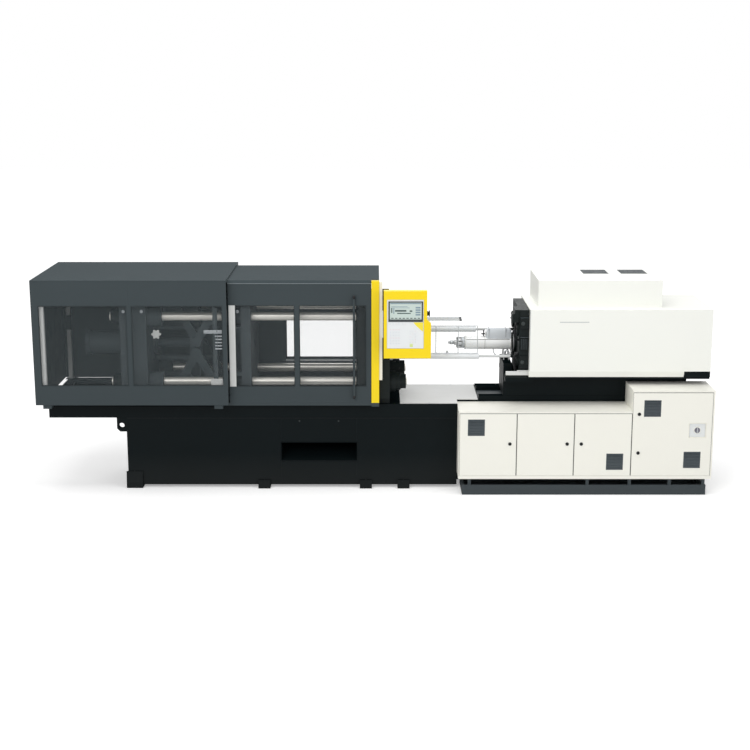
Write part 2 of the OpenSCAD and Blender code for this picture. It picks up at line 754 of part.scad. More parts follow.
// Cylinders that pull the nozzle to the mould
module carriage_cylinders() color(steel) for (s = [-1, 1]) difference() {
    z = axis_z + s * pull_drop;
    union() {
        bar_x(fixed_back_x - 60, pull_x1, s * pull_y, z, pull_r);
        bar_x(fixed_back_x - 60, fixed_back_x - 30, s * pull_y, z, pull_r + 12);
    }
    bar_x(fixed_back_x + 40, pull_x1 + 1, s * pull_y, z, pull_rod_r + pass_gap);
}

// The carriage: a long box on the ways, the head block and the floor of the cover
module carriage() color(bed_black) union() {
    block(carriage_x0, carriage_x1, -carriage_half, carriage_half, carriage_z0, carriage_z1);
    block(carriage_x0, carriage_x0 + 80, -carriage_half, carriage_half, carriage_z1 - 1,
        axis_z - 161);
    block(cover_x0 - 220, cover_x0 + 40, -340, 340, carriage_z1 - 40, carriage_z1);
    block(cover_x0, right_x - 2, -cover_front + 20, cover_rear - 20, carriage_z1, cover_z0);
    block(right_x - 249, right_x, -cover_front + 10, -cover_front + 60, cover_z0 - 1,
        cover_z0 + 54);
}

// Casting that holds the barrel, with the front ends of its two cylinders
module injection_housing() color(bed_black) difference() {
    union() {
        block(housing_x0, cover_x0, -340, 340, carriage_z1, cover_z1 - 12);
        bar_x(housing_x0 - 42, housing_x0 + 1, 0, axis_z, 95);
        for (s = [-1, 1]) {
            bar_x(housing_x0 - 20, housing_x0 + 1, s * ram_y, axis_z + 190, 80);
            bar_x(housing_x0 - 20, housing_x0 + 1, s * ram_y, axis_z - 130, 70);
            bar_x(pull_x1 - 296, housing_x0 + 1, s * pull_y, axis_z + s * pull_drop,
                pull_rod_r);
        }
        block(housing_x0 - 70, housing_x0 + 1, -320, -220, axis_z + 254, axis_z + 335);
        block(housing_x0 - 45, housing_x0 + 1, -330, -120, axis_z + 300, cover_z1 - 12);
    }
    bar_x(housing_x0 - 43, cover_x0 + 1, 0, axis_z, barrel_r + 0.2);
}

module barrel() color(steel) difference() {
    bar_x(barrel_x0, cover_x0, 0, axis_z, barrel_r);
    bar_x(barrel_x0 + 14, cover_x0 + 1, 0, axis_z, screw_r + pass_gap);
}

module nozzle() color(steel) difference() {
    translate([nozzle_x, 0, axis_z]) rotate([0, 90, 0]) rotate_extrude() polygon([
        [0, 0], [9, 0], [14, 6], [14, 50], [26, 62], [26, 78], [44, 78],
        [44, barrel_x0 - nozzle_x], [0, barrel_x0 - nozzle_x]]);
    bar_x(nozzle_x - 1, barrel_x0 + 1, 0, axis_z, 4);
}

// Heat cover round the barrel with the shut-off cylinder on top
module barrel_cover() color(steel) {
    difference() {
        bar_x(871, housing_x0 - 43, 0, axis_z, shield_r);
        bar_x(870, housing_x0 - 42, 0, axis_z, barrel_r + 0.2);
    }
    top_z = axis_z + shield_r;
    bar_x(1090, 1310, 0, top_z + 38, 34);
    bar_x(1070, 1090, 0, top_z + 38, 28);
    for (x = [1120, 1260]) difference() {
        block(x, x + 24, -30, 30, axis_z + shield_r - 12, top_z + 20);
        bar_x(x - 1, x + 25, 0, axis_z, shield_r);
        bar_x(x - 1, x + 25, 0, top_z + 38, 34);
    }
}

// Two hose loops on the head block
hose_r = 8;
hose_bend = 25;
module barrel_hoses() color([0.12, 0.12, 0.13]) for (y = [-62, 54]) {
    for (x = [1252, 1252 + 2 * hose_bend]) bar_z(x, y, axis_z - 161, axis_z - 95, hose_r);
    translate([1252 + hose_bend, y, axis_z - 95]) rotate([90, 0, 0])
        rotate_extrude(angle = 180) translate([hose_bend, 0]) circle(r = hose_r, $fn = 24);
}

// Long white cover: open below and at its left end where the housing fills it
module injection_cover() color(cream) difference() {
    translate([cover_x0, 0, 0]) rotate([90, 0, 90]) linear_extrude(right_x - cover_x0)
        polygon([
            [-cover_front + 18, cover_z0], [-cover_front, cover_z0 + 57],
            [-cover_front, cover_z1], [cover_rear, cover_z1],
            [cover_rear, cover_z0 + 57], [cover_rear - 18, cover_z0]]);
    block(cover_x0 + cover_wall, right_x - cover_wall, -cover_front + 20 + cover_wall,
        cover_rear - 20 - cover_wall, cover_z0 - 1, cover_z1 - cover_wall);
    bar_x(cover_x0 - 1, cover_x0 + cover_wall + 1, 0, axis_z, 320);
    block(right_x - 249, right_x + 1, -cover_front - 1, -cover_front + 61, cover_z0 - 1,
        cover_z0 + 57);
}

box_x0 = cover_x0 + 87;
box_x1 = cover_x0 + 1262;
box_y0 = -270;
vent_slots = 7;
roof_vents = [[2038, 2280], [2407, 2658]];
module top_box() color(cream) difference() {
    block(box_x0, box_x1, box_y0, cover_rear, cover_z1, box_z1);
    block(box_x0 + 6, box_x1 - 6, box_y0 + 6, cover_rear - 6, cover_z1 - 1, box_z1 - 6);
    for (v = roof_vents, i = [0:vent_slots - 1])
        block(v[0], v[1], 180 + i * 38, 200 + i * 38, box_z1 - 7, box_z1 + 1);
}

module injection_cylinders() color(steel) for (s = [-1, 1]) difference() {
    union() {
        bar_x(cover_x0, ram_x1, s * ram_y, axis_z, ram_r);
        bar_x(ram_x1 - 50, ram_x1, s * ram_y, axis_z, ram_r + 12);
        block(cover_x0 + 20, cover_x0 + 120, s * ram_y - 40, s * ram_y + 40, cover_z0,
            axis_z - ram_r + 10);
        block(ram_x1 - 150, ram_x1 - 60, s * ram_y - 40, s * ram_y + 40, cover_z0,
            axis_z - ram_r + 10);
    }
    bar_x(cover_x0 + 30, ram_x1 + 1, s * ram_y, axis_z, ram_rod_r + pass_gap);
}

// Thrust block with its rods and the hydraulic motor that turns the screw
module thrust_unit() color(cast_grey) difference() {
    union() {
        block(thrust_x, thrust_x + 200, -310, 310, axis_z - 150, axis_z + 150);
        both_sides() {
            block(thrust_x, thrust_x + 200, 150, 210, cover_z0 + pass_gap, axis_z - 149);
            bar_x(ram_x1 - screw_stroke + 40, thrust_x + 1, ram_y, axis_z, ram_rod_r);
        }
        bar_x(thrust_x + 199, thrust_x + 420, 0, axis_z, 115);
        bar_x(thrust_x + 199, thrust_x + 260, 0, axis_z, 140);
    }
    bar_x(thrust_x - 1, thrust_x + 60, 0, axis_z, screw_r + run_gap);
}

// Plasticising screw: a core with one helical flight
screw_x0 = barrel_x0 + 24 + screw_stroke;
screw_pitch = 50;
screw_turns = 7;
module screw() color(steel) union() {
    flight_x1 = screw_x0 + 30 + screw_pitch * screw_turns;
    bar_x(screw_x0 + 29, flight_x1 + 1, 0, axis_z, screw_r - 6, $fn = 24);
    bar_x(flight_x1, thrust_x + 58, 0, axis_z, screw_r);
    translate([screw_x0, 0, axis_z]) rotate([0, 90, 0])
        cylinder(h = 30, r1 = 6, r2 = screw_r - 6, $fn = 24);
    translate([screw_x0 + 30, 0, axis_z]) rotate([0, 90, 0])
        linear_extrude(screw_pitch * screw_turns, twist = 360 * screw_turns,
            slices = 10 * screw_turns)
            translate([8, -4]) square([screw_r - 8.7, 8]);
}

// Electrical cabinet along the front of the injection bed
module cabinet() color(cream) union() {
    difference() {
        union() {
            block(bed_joint_x, high_x, -cabinet_front + door_t + pass_gap, -cabinet_back,
                cabinet_z0, cabinet_z1);
            block(high_x, right_x, -cabinet_front + door_t + pass_gap, -cabinet_back,
                cabinet_z0, cabinet_z2);
            block(bed_joint_x, high_x, -cabinet_front, -cabinet_back, cabinet_z1 - lid_t,
                cabinet_z1);
            block(high_x, right_x, -cabinet_front, -cabinet_back, cabinet_z2 - lid_t,
                cabinet_z2);
            block(bed_joint_x, right_x, -cabinet_front, -cabinet_back, cabinet_z0,
                door_z0 - 2);
            block(right_x - door_edge + 2, right_x, -cabinet_front, -cabinet_back,
                cabinet_z0, cabinet_z2);
        }
        for (i = [0:3]) {
            bay_x1 = i < 3 ? bay_x0 + (i + 1) * bay_w : right_x - door_edge;
            top = i < 3 ? cabinet_z1 : cabinet_z2;
            block(bay_x0 + i * bay_w + cabinet_wall / 2 + 6, bay_x1 - cabinet_wall / 2 - 6,
                -cabinet_front - 1, -cabinet_back - cabinet_wall, door_z0 + 10,
                top - lid_t - 14);
        }
    }
    // Mounting plates with rows of switchgear at the back of each bay
    for (i = [0:3], r = [0:1]) {
        x = bay_x0 + i * bay_w + 80;
        block(x, x + 370, -cabinet_back - cabinet_wall - 90, -cabinet_back - cabinet_wall + 1,
            300 + r * 230, 400 + r * 230);
    }
}

module plinth() color([0.24, 0.27, 0.29]) union() {
    difference() {
        block(bed_joint_x + 38, right_x - 46, -cabinet_front + 14, -cabinet_back - 18, 0,
            plinth_h);
        block(bed_joint_x + 58, right_x - 66, -cabinet_front + 34, -cabinet_back - 38, 20,
            plinth_h + 1);
    }
    for (x = [880, 2000, 2400, 2780, 3100], y = [-cabinet_front + 18, -cabinet_back - 60])
        block(x, x + 30, y, y + 30, 19, cabinet_z0);
}

// One door: a folded tray with a lock hole, and a louvred vent where it has one
function door_x0(i) = bay_x0 + i * bay_w + door_gap / 2;
function door_x1(i) = i < 3 ? bay_x0 + (i + 1) * bay_w - door_gap / 2 : right_x - door_edge;
function door_z1(i) = (i < 3 ? cabinet_z1 : cabinet_z2) - lid_t - 2;
vent_x = [bay_x0 + 79, 0, bay_x0 + 2 * bay_w + 308, high_x + 106, right_x - 273];
vent_z = [cabinet_z1 - 233, 0, cabinet_z0 + 90, cabinet_z2 - 249, cabinet_z0 + 108];
lock_x = [bay_x0 + bay_w - 64, bay_x0 + 2 * bay_w - 65, bay_x0 + 2 * bay_w + 68,
    high_x + 63, high_x + 65];
lock_z = [cabinet_z0 + 344, cabinet_z0 + 344, cabinet_z0 + 344, cabinet_z2 - 224,
    cabinet_z0 + 256];
switch_x0 = right_x - 236;
switch_x1 = right_x - 69;
switch_z0 = cabinet_z0 + 402;
switch_z1 = cabinet_z0 + 548;

module vent(x, z) difference() {
    block(x, x + vent_w, -cabinet_front, -cabinet_front + 14, z, z + vent_w);
    for (i = [0:9])
        block(x + 8, x + vent_w - 8, -cabinet_front - 1, -cabinet_front + 15,
            z + 8 + i * (vent_w - 12) / 10, z + 15 + i * (vent_w - 12) / 10);
}

module door(i, vents, locks) {
    color(cream) difference() {
        block(door_x0(i), door_x1(i), -cabinet_front, -cabinet_front + door_t, door_z0,
            door_z1(i));
        difference() {
            block(door_x0(i) + 4, door_x1(i) - 4, -cabinet_front + 4,
                -cabinet_front + door_t + 1, door_z0 + 4, door_z1(i) - 4);
            if (i == 3) block(switch_x0 - 4, switch_x1 + 4, -cabinet_front, -cabinet_front + door_t,
                switch_z0 - 4, switch_z1 + 4);
        }
        if (i == 3) block(switch_x0, switch_x1, -cabinet_front - 1, -cabinet_front + 18,
            switch_z0, switch_z1);
        if (i == 3) bar_y((switch_x0 + switch_x1) / 2, -cabinet_front, -cabinet_front + door_t + 1,
            (switch_z0 + switch_z1) / 2, 10 + pass_gap);
        for (v = vents) block(vent_x[v], vent_x[v] + vent_w, -cabinet_front - 1,
            -cabinet_front + door_t, vent_z[v], vent_z[v] + vent_w);
        for (k = locks) bar_y(lock_x[k], -cabinet_front - 1, -cabinet_front + door_t,
            lock_z[k], lock_r - 3 + pass_gap);
    }
    color(guard_grey) for (v = vents) vent(vent_x[v], vent_z[v]);
}

module door_1() door(0, [0], [0]);
module door_2() door(1, [], [1]);
module door_3() door(2, [2], [2]);
module door_4() door(3, [3, 4], [3, 4]);

// One quarter-turn lock with its tongue behind the door
module lock(k, dir) color([0.08, 0.08, 0.09]) {
    bar_y(lock_x[k], -cabinet_front - lock_proud, -cabinet_front - pass_gap, lock_z[k], lock_r);
    bar_y(lock_x[k], -cabinet_front - 1, -cabinet_front + door_t + 6, lock_z[k], lock_r - 3);
    block(lock_x[k] - (dir < 0 ? 40 : 12), lock_x[k] + (dir > 0 ? 40 : 12),
        -cabinet_front + door_t + 1, -cabinet_front + door_t + 6, lock_z[k] - 12,
        lock_z[k] + 12);
}

module lock_1() lock(0, 1);
module lock_2() lock(1, 1);
module lock_3() lock(2, -1);
module lock_4() lock(3, -1);
module lock_5() lock(4, -1);

module main_switch() color([0.1, 0.1, 0.11]) {
    x = (switch_x0 + switch_x1) / 2;
    z = (switch_z0 + switch_z1) / 2;
    bar_y(x, -cabinet_front + 8, -cabinet_front + 17.6, z, 26);
    block(x - 9, x + 9, -cabinet_front + 1, -cabinet_front + 9, z - 26, z + 26);
    bar_y(x, -cabinet_front + 17, -cabinet_front + door_t, z, 10);
}

// Cooler for the hydraulic oil, on the rear of the injection bed
cooler_r = 75;
cooler_x0 = bed_joint_x + 412;
cooler_x1 = right_x - 886;
cooler_z = 520;
cooler_y = cabinet_front + lock_proud - cooler_r - 20;
module oil_cooler() color(cast_grey) union() {
    bar_x(cooler_x0, cooler_x1, cooler_y, cooler_z, cooler_r);
    for (x = [cooler_x0 - 20, cooler_x1 - 30])
        bar_x(x, x + 50, cooler_y, cooler_z, cooler_r + 20);
    for (x = [cooler_x0 + 200, cooler_x1 - 250])
        block(x, x + 60, bed_half, cooler_y, cooler_z - 20, cooler_z + 20);
    for (x = [cooler_x0 + 80, cooler_x1 - 100]) {
        bar_z(x, cooler_y, cooler_z, cooler_z + cooler_r + 6, 34);
        bar_z(x, cooler_y, cooler_z, cooler_z + cooler_r + 60, 22);
    }
}

clamp_base();
injection_base();
deck_plates();
levelling_feet();
lifting_lugs();
rear_guard();
rear_guard_panes();
guard_posts();
guard_frame();
front_column();
tail_platen();
fixed_platen();
tie_bars();
tie_bar_nuts();
clamp_cylinder();
cabinet();
plinth();
panel_housing();
keypad();
screen();
brackets();
oil_cooler();
carriage_cylinders();
front_gate();
front_gate_panes();
gate_post();
rear_gate();
rear_gate_pane();
upper_rear_link();
lower_rear_link();
upper_front_link();
lower_front_link();
upper_cross_link();
lower_cross_link();
crosshead();
moving_platen();
ejector();
stop_button();
carriage();
injection_housing();
barrel();
nozzle();
barrel_cover();
barrel_hoses();
injection_cover();
top_box();
injection_cylinders();
thrust_unit();
screw();
purge_guard();
door_1();
door_2();
door_3();
door_4();
lock_1();
lock_2();
lock_3();
lock_4();
lock_5();
main_switch();
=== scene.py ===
import math

import bpy
import numpy as np
from mathutils import Matrix


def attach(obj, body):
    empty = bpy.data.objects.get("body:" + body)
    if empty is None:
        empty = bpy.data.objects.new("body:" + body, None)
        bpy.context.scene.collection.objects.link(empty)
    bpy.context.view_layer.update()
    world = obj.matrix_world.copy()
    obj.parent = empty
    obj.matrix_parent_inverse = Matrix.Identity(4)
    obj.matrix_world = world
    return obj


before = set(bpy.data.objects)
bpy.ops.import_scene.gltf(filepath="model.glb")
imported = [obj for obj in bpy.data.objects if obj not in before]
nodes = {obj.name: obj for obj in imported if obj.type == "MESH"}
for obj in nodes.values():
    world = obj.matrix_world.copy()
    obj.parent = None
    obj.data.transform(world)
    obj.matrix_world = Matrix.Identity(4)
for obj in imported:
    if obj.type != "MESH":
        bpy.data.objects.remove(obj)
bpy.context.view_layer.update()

# Bodies, directions and places in metres that several pieces share

BED = "machine_bed"
UNIT = "carriage"
TO_FRONT, TO_REAR = (0, -1, 0), (0, 1, 0)
TO_LEFT, TO_RIGHT = (-1, 0, 0), (1, 0, 0)
UP = (0, 0, 1)
AXIS_Z = 1.350
BAR_STEP = 0.315
BED_HALF = 0.4000
CASTING_HALF = 0.4560
VENT_W = 0.160
DOOR_VENTS = (("door_1", 0.873, 0.581), ("door_3", 2.184, 0.249), ("door_4", 2.523, 0.767),
              ("door_4", 2.913, 0.267))
ROOF_VENTS = ((2.038, 2.280), (2.407, 2.658))
ROOF_VENT_Y = (0.176, 0.450)

# Colours on the screen, 0 to 255

GUARD_RGB = (58, 66, 69)
WHITE_RGB = (239, 240, 234)
YELLOW_RGB = (243, 213, 24)
VENT_RGB = (72, 79, 83)

# Shader nodes

WHITE = (1.0, 1.0, 1.0, 1.0)
GRIME = (0.16, 0.15, 0.14, 1.0)
GRIME_TOP = 0.35
DUSTY_ROUGHNESS = 0.9
QUICK_NOISE = 9.0
RELIEF_DEPTH = 0.002


def node(tree, kind, inputs=(), **settings):
    """Adds a shader node. An input takes a plain value, or the socket that feeds it."""
    made = tree.nodes.new("ShaderNode" + kind)
    for key, value in settings.items():
        setattr(made, key, value)
    for key, value in dict(inputs).items():
        if isinstance(value, bpy.types.NodeSocket):
            tree.links.new(value, made.inputs[key])
        else:
            made.inputs[key].default_value = value
    return made


def empty_tree(owner):
    """The node tree of a material or world, cleared."""
    owner.use_nodes = True
    owner.node_tree.nodes.clear()
    return owner.node_tree


# Camera and light


def look_from_the_photo():
    """A lens with a focal length of 1405 pixels for a picture of 750, 13.4 m in front of the
    middle and 4.0 m up, which looks 12.63 degrees down."""
    focal_px, picture_px, sensor_mm = 1405.0, 750.0, 36.0
    distance, height, pitch = 13.430, 4.033, 12.63
    lens = bpy.data.cameras.new("camera")
    lens.sensor_width = sensor_mm
    lens.lens = sensor_mm * focal_px / picture_px
    lens.clip_end = 200.0
    eye = bpy.data.objects.new("camera", lens)
    eye.location = (0.0, -distance, height)
    eye.rotation_euler = (math.radians(90.0 - pitch), 0.0, 0.0)
    bpy.context.scene.collection.objects.link(eye)
    bpy.context.scene.camera = eye


def soft_box(name, place, target, size, watts):
    """An area lamp whose face points from its place to its target."""
    lamp = bpy.data.lights.new(name, "AREA")
    lamp.shape = "RECTANGLE"
    lamp.size, lamp.size_y = size
    lamp.energy = watts
    holder = bpy.data.objects.new(name, lamp)
    way = np.array(target, float) - np.array(place, float)
    way = way / np.linalg.norm(way)
    side = np.cross(way, (0.0, 0.0, 1.0))
    side = side / np.linalg.norm(side)
    up = np.cross(side, way)
    turn = Matrix((tuple(side), tuple(up), tuple(-way))).transposed().to_4x4()
    holder.matrix_world = Matrix.Translation(place) @ turn
    bpy.context.scene.collection.objects.link(holder)


def white_room():
    """A world that is white to the camera, in gloss and through glass, and lights the rest
    softly."""
    world = bpy.data.worlds.new("white_room")
    tree = empty_tree(world)
    seen = node(tree, "LightPath").outputs
    eye = node(tree, "Math", {0: seen["Is Camera Ray"], 1: seen["Is Glossy Ray"]},
               operation="MAXIMUM").outputs[0]
    eye = node(tree, "Math", {0: eye, 1: seen["Is Transmission Ray"]},
               operation="MAXIMUM").outputs[0]
    dim = node(tree, "Background", {"Color": WHITE, "Strength": 0.55}).outputs[0]
    plain = node(tree, "Background", {"Color": WHITE, "Strength": 1.0}).outputs[0]
    mix = node(tree, "MixShader", {"Fac": eye, 1: dim, 2: plain}).outputs[0]
    node(tree, "OutputWorld", {"Surface": mix})
    bpy.context.scene.world = world


look_from_the_photo()
white_room()
bpy.context.scene.view_settings.view_transform = "Standard"
soft_box("key", (-4.0, -9.5, 6.0), (0.0, 0.0, 1.0), (6.0, 4.0), 350.0)
soft_box("fill", (6.5, -7.0, 4.5), (0.5, 0.0, 1.0), (4.0, 4.0), 108.0)
soft_box("back", (0.0, 7.0, 6.5), (0.0, 0.0, 1.0), (8.0, 3.0), 170.0)
soft_box("top", (-0.4, -1.2, 7.0), (-0.4, 0.0, 1.0), (9.0, 3.5), 235.0)

# Materials


def linear(rgb):
    """Screen colour 0 to 255 to linear light."""
    c = np.array(rgb, float) / 255.0
    return np.where(c <= 0.04045, c / 12.92, ((c + 0.055) / 1.055) ** 2.4)


def opaque(light):
    """Linear light as a colour with full alpha."""
    return (*np.clip(light, 0, 1), 1.0)


def finish(name, rgb, rough=0.4, metal=0.0, tone=0.06, patch=1.6, rough_play=0.08,
           grain=700.0, relief=0.05, stretch=(1.0, 1.0, 1.0), coat=0.0, alpha=1.0,
           second=None, edge=None, grime=0.0, spec=0.3, dust=0.0, fields=(), across="XZ"):
    """A painted, metal or plastic surface. Slow noise of size 1/patch shifts the colour by tone,
    quicker noise shifts the roughness by rough_play, fine noise of size 1/grain lifts the
    surface by relief. second is another colour, taken where the object coordinate edge[0] is
    above edge[1]. grime is the share of dirt at the floor. spec is the strength of the gloss.
    dust takes that gloss off faces that look up. fields are rectangles (low, high, low, high)
    in the plane across that take the vents' grey."""
    m = bpy.data.materials.new(name)
    tree = empty_tree(m)

    def add(kind, inputs=(), **settings):
        return node(tree, kind, inputs, **settings)

    def blend(share, low, high):
        return add("Mix", {0: share, 6: low, 7: high}, data_type="RGBA").outputs[2]

    place = add("TexCoord").outputs["Object"]
    axes = add("SeparateXYZ", {0: place}).outputs
    slow = add("TexNoise", {"Vector": place, "Scale": patch, "Detail": 4.0}).outputs["Fac"]

    def shades(c):
        light = linear(c)
        return blend(slow, opaque(light * (1.0 - tone)), opaque(light * (1.0 + tone)))

    colour = shades(rgb)
    if second is not None:
        past = add("Math", {0: axes[edge[0]], 1: edge[1]}, operation="GREATER_THAN")
        colour = blend(past.outputs[0], colour, shades(second))
    for field in fields:
        inside = []
        for axis, low, high in zip(across, field[0::2], field[1::2]):
            near = add("Math", {0: axes[axis], 1: (low + high) / 2.0, 2: (high - low) / 2.0},
                       operation="COMPARE")
            inside.append(near.outputs[0])
        both = add("Math", {0: inside[0], 1: inside[1]}, operation="MULTIPLY")
        colour = blend(both.outputs[0], colour, opaque(linear(VENT_RGB)))
    if grime > 0.0:
        low = add("MapRange", {"Value": axes["Z"], "From Min": 0.0, "From Max": GRIME_TOP,
                               "To Min": grime, "To Max": 0.0})
        colour = blend(low.outputs[0], colour, GRIME)

    spread = add("Mapping", {"Vector": place, "Scale": stretch}).outputs[0]
    quick = add("TexNoise", {"Vector": spread, "Scale": patch * QUICK_NOISE,
                             "Detail": 3.0})
    gloss = add("MapRange", {"Value": quick.outputs["Fac"], "From Min": 0.3, "From Max": 0.7,
                             "To Min": max(rough - rough_play, 0.03),
                             "To Max": min(rough + rough_play, 1.0)}).outputs[0]
    shine = spec
    if dust > 0.0:
        facing = add("NewGeometry").outputs["True Normal"]
        level = add("SeparateXYZ", {0: facing}).outputs["Z"]
        top = add("MapRange", {"Value": level, "From Min": 0.1, "From Max": 0.8}).outputs[0]
        shine = add("MapRange", {"Value": top, "To Min": spec,
                                 "To Max": spec * (1.0 - dust)}).outputs[0]
        gloss = add("Mix", {0: top, 2: gloss, 3: DUSTY_ROUGHNESS}).outputs[0]
    fine = add("TexNoise", {"Vector": spread, "Scale": grain, "Detail": 2.0}).outputs["Fac"]
    lift = add("Bump", {"Strength": relief, "Distance": RELIEF_DEPTH, "Height": fine})
    skin = add("BsdfPrincipled", {
        "Base Color": colour, "Roughness": gloss, "Metallic": metal, "Coat Weight": coat,
        "Specular IOR Level": shine, "Alpha": alpha, "Normal": lift.outputs[0]})
    add("OutputMaterial", {"Surface": skin.outputs["BSDF"]})
    m.diffuse_color = (*linear(rgb), alpha)
    return m


guard_paint = finish("guard_paint", GUARD_RGB, rough=0.45, tone=0.05, grain=300.0, spec=0.16,
                     dust=0.25)
inner_paint = finish("inner_paint", (50, 56, 58), rough=0.5, tone=0.08, grain=300.0, spec=0.14,
                     dust=0.99)
bed_paint = finish("bed_paint", (9, 17, 19), rough=0.42, tone=0.14, grain=250.0, relief=0.08,
                   grime=0.06, spec=0.1, dust=0.97)
cream_paint = finish("cream_paint", (238, 237, 228), tone=0.02, grain=400.0, relief=0.04,
                     fields=[(x, x + VENT_W, z, z + VENT_W) for _, x, z in DOOR_VENTS])
white_paint = finish("white_paint", WHITE_RGB, rough=0.38, tone=0.015, grain=400.0, relief=0.04)
box_paint = finish("box_paint", WHITE_RGB, rough=0.38, tone=0.015, grain=400.0, relief=0.04,
                   fields=[(x0 - 0.004, x1 + 0.004, *ROOF_VENT_Y) for x0, x1 in ROOF_VENTS],
                   across="XY")
yellow_paint = finish("yellow_paint", YELLOW_RGB, rough=0.36, tone=0.04, grain=400.0,
                      relief=0.04)
column_paint = finish("column_paint", YELLOW_RGB, rough=0.36, tone=0.04, grain=400.0,
                      relief=0.04, second=(236, 234, 222), edge=("X", 0.0392))
plinth_paint = finish("plinth_paint", (58, 66, 70), rough=0.5, tone=0.08, grain=300.0,
                      relief=0.08, grime=0.08, spec=0.15)
cast_paint = finish("cast_paint", (66, 73, 76), rough=0.6, tone=0.1, patch=3.0, grain=70.0,
                    relief=0.12, spec=0.15)
black_cast = finish("black_cast", (22, 28, 28), rough=0.5, tone=0.2, patch=5.0, grain=70.0,
                    relief=0.2, spec=0.16, dust=0.7)
housing_cast = finish("housing_cast", (206, 208, 208), rough=0.48, tone=0.2, patch=5.0,
                      grain=70.0, relief=0.2, spec=0.16, second=(20, 27, 27),
                      edge=("X", 1.2995))
steel = finish("turned_steel", (190, 191, 192), rough=0.34, metal=0.7, tone=0.05, patch=4.0,
               grain=120.0, relief=0.08, stretch=(0.08, 3.0, 3.0))
chrome = finish("hard_chrome", (236, 233, 225), rough=0.34, metal=0.5, tone=0.03, patch=3.0,
                rough_play=0.03, grain=120.0, relief=0.02, stretch=(0.1, 3.0, 3.0))
light_sheet = finish("light_sheet", (212, 213, 211), rough=0.42, metal=0.2, tone=0.05,
                     patch=2.5, grain=160.0, relief=0.06, stretch=(0.2, 2.0, 2.0))
post_paint = finish("post_paint", (228, 228, 226), tone=0.03, grain=160.0, relief=0.04,
                    second=GUARD_RGB, edge=("X", -2.3))
deck_sheet = finish("deck_sheet", (208, 209, 208), rough=0.5, metal=0.1, tone=0.05, patch=2.2,
                    grain=160.0, relief=0.08, stretch=(0.3, 2.0, 2.0), second=(46, 54, 58),
                    edge=("X", 0.992))
cover_sheet = finish("cover_sheet", (231, 232, 232), rough=0.36, metal=0.2, tone=0.06,
                     patch=3.0, grain=160.0, relief=0.06, stretch=(0.2, 2.0, 2.0))
pale_steel = finish("pale_steel", (218, 221, 223), metal=0.15, tone=0.06, patch=3.0,
                    grain=160.0, relief=0.06, stretch=(0.2, 2.0, 2.0))
switch_grey = finish("switch_grey", (116, 114, 126), rough=0.42, tone=0.08, grain=900.0,
                     relief=0.1)
braided = finish("braided_hose", (196, 198, 200), rough=0.5, metal=0.2, tone=0.12, patch=20.0,
                 grain=420.0, relief=0.3)
dark_pane = finish("dark_pane", (92, 101, 104), rough=0.1, tone=0.04, rough_play=0.02,
                   grain=80.0, relief=0.01, alpha=0.15)
gate_pane = finish("gate_pane", (96, 104, 107), rough=0.1, tone=0.04, rough_play=0.02,
                   grain=80.0, relief=0.01, alpha=0.12)
clear_pane = finish("clear_pane", (226, 233, 235), rough=0.1, tone=0.02, rough_play=0.02,
                    grain=80.0, relief=0.01, alpha=0.07)
key_film = finish("key_film", (226, 229, 230), rough=0.45, tone=0.02, grain=900.0, relief=0.06)
black_plastic = finish("black_plastic", (24, 25, 27), rough=0.42, tone=0.12, grain=900.0,
                       relief=0.12)
rubber = finish("hose_rubber", (30, 31, 33), rough=0.62, tone=0.15, grain=500.0, relief=0.2)
screen_glass = finish("screen_glass", (60, 66, 68), rough=0.12, tone=0.06, rough_play=0.03,
                      grain=60.0, relief=0.01, coat=0.5)

# Materials of the new pieces alone

seal = finish("black_seal", (34, 36, 37), rough=0.7, tone=0.1, grain=600.0, relief=0.15)
seam_grey = finish("seam_grey", (112, 114, 110), rough=0.6, tone=0.08, grain=500.0, relief=0.1)
seam_dark = finish("seam_dark", (48, 54, 54), rough=0.5, tone=0.1, grain=300.0, relief=0.1)
# A lighter grey for the gate roof's front fold: a painted highlight where the fold catches the
# light.
painted_fold_highlight = finish("painted_fold_highlight", (112, 120, 123), tone=0.05, grain=300.0)
vent_grey = finish("vent_grey", (72, 80, 85), rough=0.5, tone=0.08, grain=500.0, relief=0.1)
soft_grey = finish("soft_grey", (176, 180, 182), rough=0.42, tone=0.05, grain=500.0,
                   relief=0.08)
hood_grey = finish("hood_grey", (198, 203, 207), patch=6.0, grain=300.0, relief=0.06)
black_bolt = finish("black_bolt", (30, 31, 33), rough=0.45, metal=0.4, tone=0.15, grain=300.0,
                    relief=0.2)
zinc = finish("zinc_bolt", (186, 190, 194), rough=0.32, metal=0.85, tone=0.08, patch=9.0,
              grain=300.0, relief=0.1)
glow_face = finish("display_face", (196, 210, 204), rough=0.16, tone=0.04, rough_play=0.03,
                   grain=90.0, relief=0.01, coat=0.6)
ink_blue = finish("display_blue", (128, 148, 160), rough=0.2, tone=0.05, grain=90.0,
                  relief=0.01)
ink_dark = finish("display_dark", (84, 98, 96), rough=0.2, tone=0.05, grain=90.0, relief=0.01)
key_grey = finish("key_grey", (188, 196, 206), rough=0.5, tone=0.05, relief=0.08)
key_rose = finish("key_rose", (222, 186, 190), rough=0.5, tone=0.05, relief=0.08)
key_lime = finish("key_lime", (206, 222, 128), rough=0.5, tone=0.05, relief=0.08)
patch_yellow = finish("patch_yellow", (238, 222, 70), tone=0.04, grain=600.0)

